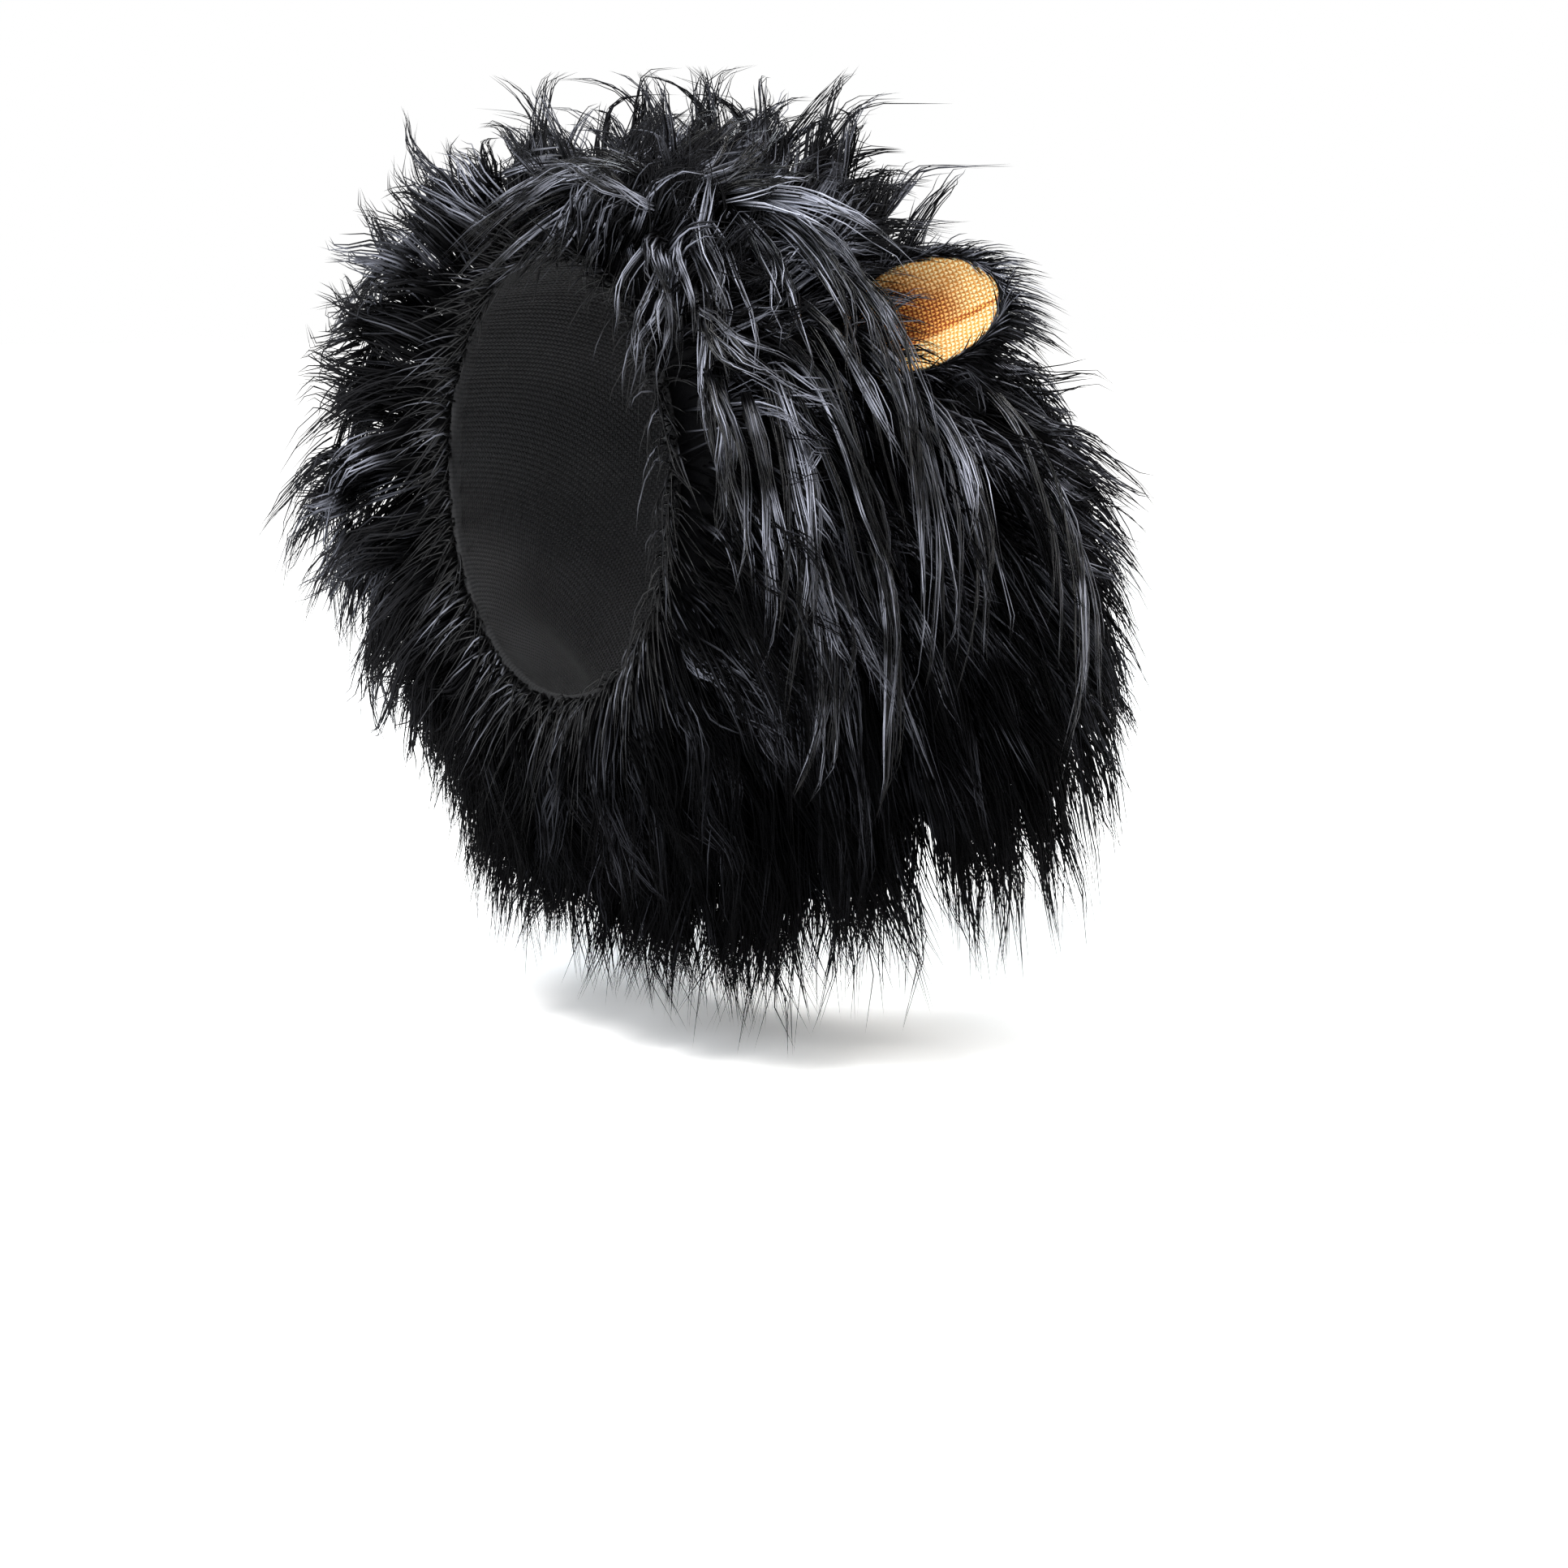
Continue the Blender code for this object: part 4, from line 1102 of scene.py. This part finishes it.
class MakeForelock(Operator):
    """Make the whorl above the brow, the locks that fan out from it, the locks with painted silver highlights and the
    curls of the crown
    """

    bl_idname = "mane_wig.make_forelock"
    bl_label = "Forelock"

    def execute(self, context):
        pile = context.scene.mane_pile
        material = glossy_pile(pile)
        chance = np.random.default_rng(71)
        segments = 7
        guides, radius = self.fan(chance)
        paths, owner = strands_round(guides, radius, 20, segments, chance, frizz=0.0010, stray=0.14, shortest=0.6, filler=0.2)
        paths = within_box(paths)
        self.add_strands("forelock_strands", paths, owner, segments, pile, material, chance, ["forelock"], 1)
        black = pile_material("black pile", pile)
        for label, side in (("left", 1), ("right", -1)):
            guides, radius = self.combed(side, chance)
            paths, owner = strands_round(
                guides, radius, 8, segments, chance, frizz=0.0010, stray=0.14, shortest=0.62, filler=0.16
            )
            paths, keep = ended_at_ear(within_box(paths))
            paths, owner = paths[keep], owner[keep]
            # These locks are black pile with a painted silver highlight
            name = f"painted_highlight_locks_{label}"
            self.add_strands(name, paths, owner, segments, pile, material, chance, [f"mane_{label}"], side, 0.3 if side < 0 else 0.1)
            guides, radius = self.curls(chance)
            paths, owner = strands_round(guides, radius, 13, segments, chance, frizz=0.0014, stray=0.12, shortest=0.6)
            paths, keep = ended_at_ear(within_box(paths))
            paths, owner = paths[keep], owner[keep]
            self.add_strands(f"crown_curls_{label}", paths, owner, segments, pile, black, chance, [f"mane_{label}"], side, 0.6)
        self.add_tuft(pile)
        self.add_hem_fringe(pile, material, chance)
        return {"FINISHED"}

    def add_hem_fringe(self, pile, material, chance):
        """Short pile that curls out over the face hem and hides its roll."""
        count, segments = 900, 4
        around = mix(-1, 1, (0.5 + np.arange(count) * 0.618034) % 1) * math.pi
        station = np.zeros(count)
        _, to_face = ring_axes(station)
        out = outward(station, around)
        middle = hood_place(station, around, CLOTH / 2)
        turn = mix(-0.15, 0.5, chance.random(count))[:, None] * math.pi
        root = middle + (to_face * np.cos(turn) + out * np.sin(turn)) * HEM_ROLL / 2
        length = mix(0.008, 0.036, chance.random(count) ** 1.5)[:, None, None]
        astray = unit(chance.standard_normal((count, 3)))
        start = unit(to_face * 0.70 + out * mix(-0.40, 0.70, chance.random(count))[:, None] + astray * 0.60)
        shares = np.linspace(0, 1, segments + 1)[None, :, None]
        bend = out[:, None] * (0.60 * length * shares**2) + DOWN * (0.75 * length * shares**2)
        paths = within_box(root[:, None] + start[:, None] * length * shares + bend)
        halves = strand_halves(count, segments, pile.strand_width, chance)
        # Even marks: some painted highlight and a little painted backlight
        marks = {"tone": chance.random(count) * 0.8, "gloss": np.full(count, 0.4), "faded": np.full(count, 0.2)}
        data = joined_forms("hem_fringe", paths, halves, 3, marks)
        piece_from("hem_fringe", data, 1, ["mane_left", "mane_right"], material)

    def add_strands(self, name, paths, owner, segments, pile, material, chance, replaced, side, faded=0.0):
        wisps = owner.max() + 1
        # Tone picks the strands that carry the painted highlight
        tone = 0.16 + chance.random(wisps)[owner] * 0.46 + chance.random(len(owner)) * 0.44
        halves = strand_halves(len(owner), segments, pile.strand_width * 0.9, chance)
        # Strands with more painted backlight get less gloss and painted highlight
        marks = {"tone": tone, "gloss": np.full(len(owner), 1.0 - faded), "faded": np.full(len(owner), faded)}
        data = joined_forms(name, paths, halves, 3, marks)
        piece_from(name, data, side, replaced, material)

    def fan(self, chance):
        """Guides of the forelock, from inside its tuft to over the brow and beside the face."""
        rows = np.array(FORELOCK_ROWS)
        count = 62
        heading = np.sort(mix(-106, 98, (0.5 + np.arange(count) * 0.618034) % 1 + mix(-0.02, 0.02, chance.random(count))))
        length, rise, fall = (np.interp(heading, rows[:, 0], rows[:, column]) for column in (1, 2, 3))
        length = length * FORELOCK_LENGTH * mix(0.78, 1.02, chance.random(count))
        rise = rise * mix(0.75, 1.15, chance.random(count))
        turn = np.radians(heading)
        zero = np.zeros(count)
        ahead = np.stack([np.sin(turn), -np.cos(turn), zero], -1)
        across = np.stack([np.cos(turn), np.sin(turn), zero], -1)
        root = hood_place(WHORL_SHARE, 0.0, CLOTH)
        up = outward(WHORL_SHARE, 0.0)
        shares = np.linspace(0, 1, GUIDE_STEPS)[None]
        lift = TUFT_HEIGHT * mix(0.30, 0.75, chance.random(count))[:, None] + length[:, None] * (
            rise[:, None] * shares - fall[:, None] * shares**2
        )
        reach = length[:, None] * (0.86 * shares - 0.10 * shares**2)
        phase = chance.random(count)[:, None] * 2 * math.pi
        swing = 0.007 * shares * np.sin(phase + 2.4 * math.pi * shares)
        start = ahead * (mix(-0.008, 0.006, chance.random(count)))[:, None]
        guides = root + start[:, None] + up * lift[..., None] + ahead[:, None] * reach[..., None]
        guides = guides + across[:, None] * swing[..., None]
        return guides, mix(0.005, 0.0085, chance.random(count))

    def combed(self, side, chance):
        """Guides of the locks with painted silver highlights, several side by side for each row of their table, fewer
        at the right.
        """
        rows = np.array(COMBED_LOCKS, float)
        if side < 0:
            rows = rows[(rows[:, 1, 0] > 0.0) & (rows[:, 1, 1] > 48)]
        rows = np.repeat(rows, 4 if side > 0 else 3, axis=0)
        count = len(rows)
        opening = np.array((0.3, 1.0, 1.5))
        rows[:, :, 0] += mix(-0.026, 0.026, chance.random(count))[:, None] * opening
        rows[:, :, 1] += mix(-4.5, 4.5, chance.random(count))[:, None] * opening
        rows[:, 2] += (chance.random((count, 3)) - 0.5) * (0.05, 8.0, 0.12)
        shares = np.linspace(0, 1, GUIDE_STEPS)[None, :, None]
        first, middle, last = rows[:, None, 0], rows[:, None, 1], rows[:, None, 2]
        bend = 2 * middle - (first + last) / 2
        route = first * (1 - shares) ** 2 + bend * 2 * shares * (1 - shares) + last * shares**2
        station, degrees, grown = route.reshape(-1, 3).T
        around = np.radians(degrees)
        points = pile_paths(station, around, grown[:, None], 1, np.ones(len(station)))[:, 0]
        points += outward(station, around) * 0.007
        guides = points.reshape(count, GUIDE_STEPS, 3)
        phase = chance.random(count)[:, None] * 2 * math.pi
        swing = 0.0045 * np.sin(phase + mix(2.0, 4.0, chance.random(count))[:, None] * math.pi * shares[..., 0])
        sideways = unit(np.cross(unit(guides[:, -1] - guides[:, 0]), outward(rows[:, 1, 0], np.radians(rows[:, 1, 1]))))
        guides = guides + sideways[:, None] * (swing * shares[..., 0])[..., None]
        return guides, mix(0.0018, 0.0046, chance.random(count))

    def curls(self, chance):
        """Guides of the loose curls that stand out of the crown."""
        count = 34
        station = mix(0.02, 0.42, (0.5 + np.arange(count) * 0.7548776662) % 1)
        around = np.radians(mix(2, 36, (0.5 + np.arange(count) * 0.5698402910) % 1))
        root = pile_paths(station, around, np.full((count, 1), 0.42), 1, np.ones(count))[:, 0]
        up = unit(outward(station, around) + np.array((0.0, 0.0, 0.35)))
        heading = chance.random(count) * 2 * math.pi
        aside = np.stack([np.cos(heading), np.sin(heading), np.zeros(count)], -1)
        across = np.cross(up, aside)
        length = mix(0.044, 0.104, chance.random(count) ** 1.1)[:, None]
        shares = np.linspace(0, 1, GUIDE_STEPS)[None]
        bent = mix(0.45, 1.1, chance.random(count))[:, None]
        rise = length * (1.25 * shares - 0.75 * bent * shares**2)
        lean = length * (0.15 * shares + 0.60 * bent * shares**2.2)
        turns = mix(1.5, 6.0, chance.random(count))[:, None] * shares**1.5
        curl = mix(0.005, 0.014, chance.random(count))[:, None] * shares
        guides = root[:, None] + up[:, None] * rise[..., None] + aside[:, None] * (lean + curl * np.cos(turns))[..., None]
        guides = guides + across[:, None] * (curl * np.sin(turns))[..., None]
        return guides, mix(0.0035, 0.0065, chance.random(count))

    def add_tuft(self, pile):
        mesh = bmesh.new()
        bmesh.ops.create_uvsphere(mesh, u_segments=32, v_segments=20, radius=1.0)
        root = Vector(hood_place(WHORL_SHARE, 0.0, CLOTH))
        up = Vector(outward(WHORL_SHARE, 0.0))
        for vertex in mesh.verts:
            wide = Vector((vertex.co.x, vertex.co.y, 0.0)) * (TUFT_WIDTH / 2 * 0.86)
            vertex.co = root + wide + up * vertex.co.z * TUFT_HEIGHT * 0.7
        data = bpy.data.meshes.new("forelock_tuft")
        mesh.to_mesh(data)
        mesh.free()
        data.shade_smooth()
        material = pile_material("underpile", pile, marked=False)
        piece_from("forelock_tuft", data, 1, ["forelock"], material)


class MakeEars(Operator):
    """Make the cupped ears, their knit linings and the pile round and behind them"""

    bl_idname = "mane_wig.make_ears"
    bl_label = "Ears"

    def execute(self, context):
        pile = context.scene.mane_pile
        ears = context.scene.mane_ears
        for label, side in (("left", 1), ("right", -1)):
            self.make_layer(f"ear_back_{label}", side, 0.0, 0.0, EAR_WALL, f"ear_{label}_back", pile_material("underpile", pile, marked=False), "black_pile")
            self.make_layer(
                f"ear_lining_{label}",
                side,
                -LINING_INSET,
                0.0004 + LINING_WALL,
                LINING_WALL,
                f"ear_{label}_lining",
                lining_material(ears),
                "tan_knit",
            )
            self.make_fringe(label, side, pile, ears)
            self.make_veil(label, side, pile)
        return {"FINISHED"}

    def make_veil(self, label, side, pile):
        """Wisps that lie over the root of the ear and along its upper rim."""
        chance = np.random.default_rng(93)
        count, segments = 34, 6
        to_tip, facing, over = (np.array(axis) for axis in ear_axes())
        foot = np.array(ear_root())
        station = EAR_SHARE + mix(-0.12, 0.04, chance.random(count))
        around = EAR_AROUND + mix(-0.42, 0.34, (0.5 + np.arange(count) * 0.618034) % 1)
        root = hood_place(station, around, CLOTH + 0.012)
        level = ((around - EAR_AROUND) / 0.40)[:, None]
        reach = EAR_LENGTH * mix(0.36, 0.76, chance.random(count))[:, None] * mix(1.0, 1.45, np.clip(-level, 0, 1))
        ahead = mix(0.006, 0.018, chance.random(count))[:, None]
        tip = foot + to_tip * reach + over * (level * EAR_WIDTH * 0.52) + facing * ahead
        middle = (root + tip) / 2 + np.array((0.10, -0.35, 1.0)) * mix(0.010, 0.024, chance.random(count))[:, None]
        shares = np.linspace(0, 1, GUIDE_STEPS)[None, :, None]
        guides = root[:, None] * (1 - shares) ** 2 + middle[:, None] * 2 * shares * (1 - shares) + tip[:, None] * shares**2
        radius = mix(0.004, 0.0075, chance.random(count))
        paths, owner = strands_round(guides, radius, 12, segments, chance, frizz=0.0012, shortest=0.5, filler=0.15)
        paths = within_box(paths)
        halves = strand_halves(len(owner), segments, pile.strand_width * 0.8, chance)
        # Marks for the painted highlight and for painted backlight and haze
        marks = {"tone": chance.random(len(owner)), "gloss": np.full(len(owner), 0.8), "faded": np.full(len(owner), 0.4)}
        data = joined_forms(f"ear_veil_{label}", paths, halves, 3, marks)
        piece_from(f"ear_veil_{label}", data, side, [f"mane_{label}"], pile_material("black pile", pile))

    def make_layer(self, name, side, margin, ahead, wall, node, material, slot):
        cells = 32
        crease = name.startswith("ear_lining")

        def place(u, v):
            x, y = ear_shares(2 * u - 1, 2 * v - 1)
            point = ear_point(x, y, margin, ahead)
            if crease:
                _, facing, _ = ear_axes()
                fold = math.exp(-(((x - 0.42 + 0.25 * y) / 0.12) ** 2)) * (1 - y * y)
                point += facing * (0.0026 * fold + 0.0004 * math.sin(9 * x + 5 * y) * (1 - x * x))
            return point

        def flat(u, v):
            x, y = ear_shares(2 * u - 1, 2 * v - 1)
            return (x * EAR_WIDTH / 2, y * EAR_LENGTH / 2)

        data = grid_mesh(name, cells, cells, place, flat)
        to_tip, facing, _ = ear_axes()
        behind = ear_root() + to_tip * EAR_LENGTH / 2 - facing * 0.1
        faces_towards(data, behind, outwards=True)
        if crease:
            # Painted shade for the lining's colour: darker in the middle of the cup and in the crease of the fold,
            # lighter at the rim and on the lip past the fold
            painted_cup_shading = []
            for vertex in data.vertices:
                place_on = vertex.co - ear_root()
                along = (place_on.dot(to_tip) / EAR_LENGTH) * 2 - 1
                across = place_on.dot(to_tip.cross(facing)) / (EAR_WIDTH / 2)
                lip_light = eased(min(1.0, max(0.0, (across - 0.34 + 0.25 * along) / 0.12)))
                crease_shade = math.exp(-(((across - 0.33 + 0.25 * along) / 0.035) ** 2)) * eased(min(1.0, max(0.0, along + 0.6)))
                painted_cup_shading.append(min(1.0, max(0.0, math.hypot(along + 0.12, across) + 0.5 * lip_light - 0.9 * crease_shade)))
            add_mark(data, "rim", painted_cup_shading)
        piece = piece_from(name, data, side, [node], material)
        thickened(piece, wall, -1.0)

    def make_fringe(self, label, side, pile, ears):
        """Short pile on the back of the ear and past its rim, longer towards the rim."""
        chance = np.random.default_rng(88)
        count = ears.fringe
        segments = 4
        turn = chance.random(count) * 2 * math.pi
        radius = np.where(chance.random(count) < 0.55, mix(0.88, 1.0, chance.random(count)), np.sqrt(chance.random(count)))
        x, y = radius * np.cos(turn), radius * np.sin(turn)
        to_tip, facing, over = (np.array(axis) for axis in ear_axes())
        roots = np.array([ear_point(a, b, 0.0, -EAR_WALL * 0.6) for a, b in zip(x, y)])
        rim = eased(np.clip((radius - 0.7) / 0.3, 0, 1))
        length = mix(0.016, 0.026, chance.random(count)) * mix(0.75, 1.0, rim)
        out = over * (0.75 * x)[:, None] + to_tip * (y * 0.5 + 0.85)[:, None]
        start = unit(out * mix(0.4, 1.0, rim)[:, None] - facing * mix(0.9, 0.25, rim)[:, None])
        start = unit(start + (chance.random((count, 3)) - 0.5) * 0.5)
        shares = np.linspace(0, 1, segments + 1)[None]
        bend = (to_tip * 0.25 + DOWN * 0.55)[None, None] * (length[:, None] * shares**2)[..., None]
        paths = roots[:, None] + start[:, None] * (length[:, None] * shares)[..., None] + bend
        over_rim = 700
        turn = chance.random(over_rim) * 2 * math.pi
        x, y = 0.985 * np.cos(turn), 0.985 * np.sin(turn)
        roots = np.array([ear_point(a, b, 0.0, 0.002) for a, b in zip(x, y)])
        inward = -unit(over * x[:, None] + to_tip * y[:, None])
        along_rim = (over * -y[:, None] + to_tip * x[:, None]) * np.sign(x)[:, None]
        across_rim = inward * mix(-0.7, 0.12, chance.random(over_rim))[:, None]
        start = unit(across_rim + facing * 0.22 + along_rim + (chance.random((over_rim, 3)) - 0.5) * 0.5)
        length = mix(0.006, 0.017, chance.random(over_rim))[:, None]
        curved = roots[:, None] + start[:, None] * (length * shares)[..., None]
        curved = curved + across_rim[:, None] * (length * 0.35 * shares**2)[..., None]
        paths = within_box(np.concatenate([paths, curved]))
        count += over_rim
        halves = strand_halves(count, segments, pile.strand_width * 0.75, chance)
        # Marks for the painted highlight and for painted backlight and haze
        marks = {"tone": chance.random(count), "gloss": np.full(count, 0.5), "faded": np.full(count, 0.3)}
        data = joined_forms(f"ear_fringe_{label}", paths, halves, 3, marks)
        node = f"ear_{label}_back"
        piece_from(f"ear_fringe_{label}", data, side, [node], pile_material("black pile", pile))


class MakeStage(Operator):
    """Make the pale floor, the soft lights and the camera"""

    bl_idname = "mane_wig.make_stage"
    bl_label = "Stage"

    def execute(self, context):
        stage = context.scene.mane_stage
        mesh = bmesh.new()
        bmesh.ops.create_circle(mesh, cap_ends=True, segments=96, radius=9.0)
        bmesh.ops.translate(mesh, verts=mesh.verts, vec=(0.0, 0.0, CAD_BOX[0][2] - 0.020))
        data = bpy.data.meshes.new("floor")
        mesh.to_mesh(data)
        mesh.free()
        floor = bpy.data.objects.new("floor", data)
        context.scene.collection.objects.link(floor)
        floor.data.materials.append(floor_material(stage))
        self.add_camera(context, stage)
        aim = Vector(stage.aim)
        self.add_sun(context, 12, 56, 4.0, 20, (1.0, 0.99, 0.975))
        self.add_light(context, "front", aim, 14, 26, 2.0, 0.8, 31, (0.94, 0.97, 1.0))
        self.add_light(context, "side", aim, 112, 36, 2.0, 0.7, 31, (1.0, 0.96, 0.90))
        self.add_light(context, "rim", aim, 205, 50, 2.2, 1.0, 36, (0.88, 0.94, 1.0))
        context.scene.view_settings.view_transform = "Standard"
        self.add_world(context)
        return {"FINISHED"}

    def add_camera(self, context, stage):
        camera = bpy.data.cameras.new("camera")
        camera.lens = stage.lens
        camera.sensor_width = 36.0
        camera.dof.use_dof = False
        eye = bpy.data.objects.new("camera", camera)
        context.scene.collection.objects.link(eye)
        turn, rise = stage.azimuth, stage.elevation
        back = Vector((math.sin(turn) * math.cos(rise), -math.cos(turn) * math.cos(rise), math.sin(rise)))
        eye.location = Vector(stage.aim) + back * stage.distance
        eye.rotation_euler = (-back).to_track_quat("-Z", "Y").to_euler()
        context.scene.camera = eye

    def add_sun(self, context, azimuth, elevation, strength, spread, colour):
        light = bpy.data.lights.new("sky", "SUN")
        light.energy = strength
        light.angle = math.radians(spread)
        light.color = colour
        lamp = bpy.data.objects.new("sky", light)
        context.scene.collection.objects.link(lamp)
        turn, rise = math.radians(azimuth), math.radians(elevation)
        back = Vector((math.sin(turn) * math.cos(rise), -math.cos(turn) * math.cos(rise), math.sin(rise)))
        lamp.rotation_euler = (-back).to_track_quat("-Z", "Y").to_euler()

    def add_light(self, context, name, aim, azimuth, elevation, distance, size, power, colour):
        light = bpy.data.lights.new(name, "AREA")
        light.shape = "DISK"
        light.size = size
        light.energy = power
        light.color = colour
        lamp = bpy.data.objects.new(name, light)
        context.scene.collection.objects.link(lamp)
        turn, rise = math.radians(azimuth), math.radians(elevation)
        back = Vector((math.sin(turn) * math.cos(rise), -math.cos(turn) * math.cos(rise), math.sin(rise)))
        lamp.location = aim + back * distance
        lamp.rotation_euler = (-back).to_track_quat("-Z", "Y").to_euler()

    def add_world(self, context):
        world = bpy.data.worlds.new("studio")
        world.use_nodes = True
        tree = world.node_tree
        seen = tree.nodes["Background"]
        seen.inputs["Color"].default_value = (1.0, 1.0, 1.0, 1.0)
        fill = tree.nodes.new("ShaderNodeBackground")
        fill.inputs["Color"].default_value = (0.90, 0.94, 1.0, 1.0)
        fill.inputs["Strength"].default_value = 0.20
        path = tree.nodes.new("ShaderNodeLightPath")
        either = tree.nodes.new("ShaderNodeMixShader")
        tree.links.new(path.outputs["Is Camera Ray"], either.inputs[0])
        tree.links.new(fill.outputs[0], either.inputs[1])
        tree.links.new(seen.outputs[0], either.inputs[2])
        tree.links.new(either.outputs[0], tree.nodes["World Output"].inputs["Surface"])
        context.scene.world = world


class ManePanel(Panel):
    """Settings and steps of the mane wig"""

    bl_label = "Mane wig"
    bl_idname = "VIEW3D_PT_mane_wig"
    bl_space_type = "VIEW_3D"
    bl_region_type = "UI"
    bl_category = "Mane"

    def draw(self, context):
        for group in ("mane_hood", "mane_pile", "mane_ears", "mane_stage"):
            box = self.layout.box()
            settings = getattr(context.scene, group)
            for key in settings.__annotations__:
                box.prop(settings, key)
        for step in STEPS:
            self.layout.operator(step.bl_idname)


SETTINGS = {
    "mane_hood": HoodSettings,
    "mane_pile": PileSettings,
    "mane_ears": EarSettings,
    "mane_stage": StageSettings,
}
STEPS = (MakeHood, MakeUnderpile, MakeMane, MakeForelock, MakeEars, MakeStage)


def register():
    for made in (*SETTINGS.values(), *STEPS, ManePanel):
        bpy.utils.register_class(made)
    for name, settings in SETTINGS.items():
        setattr(bpy.types.Scene, name, PointerProperty(type=settings))


def unregister():
    for name in SETTINGS:
        delattr(bpy.types.Scene, name)
    for made in reversed((*SETTINGS.values(), *STEPS, ManePanel)):
        bpy.utils.unregister_class(made)


def main():
    register()
    for step in STEPS:
        family, name = step.bl_idname.split(".")
        getattr(getattr(bpy.ops, family), name)()


if __name__ == "__main__":
    main()
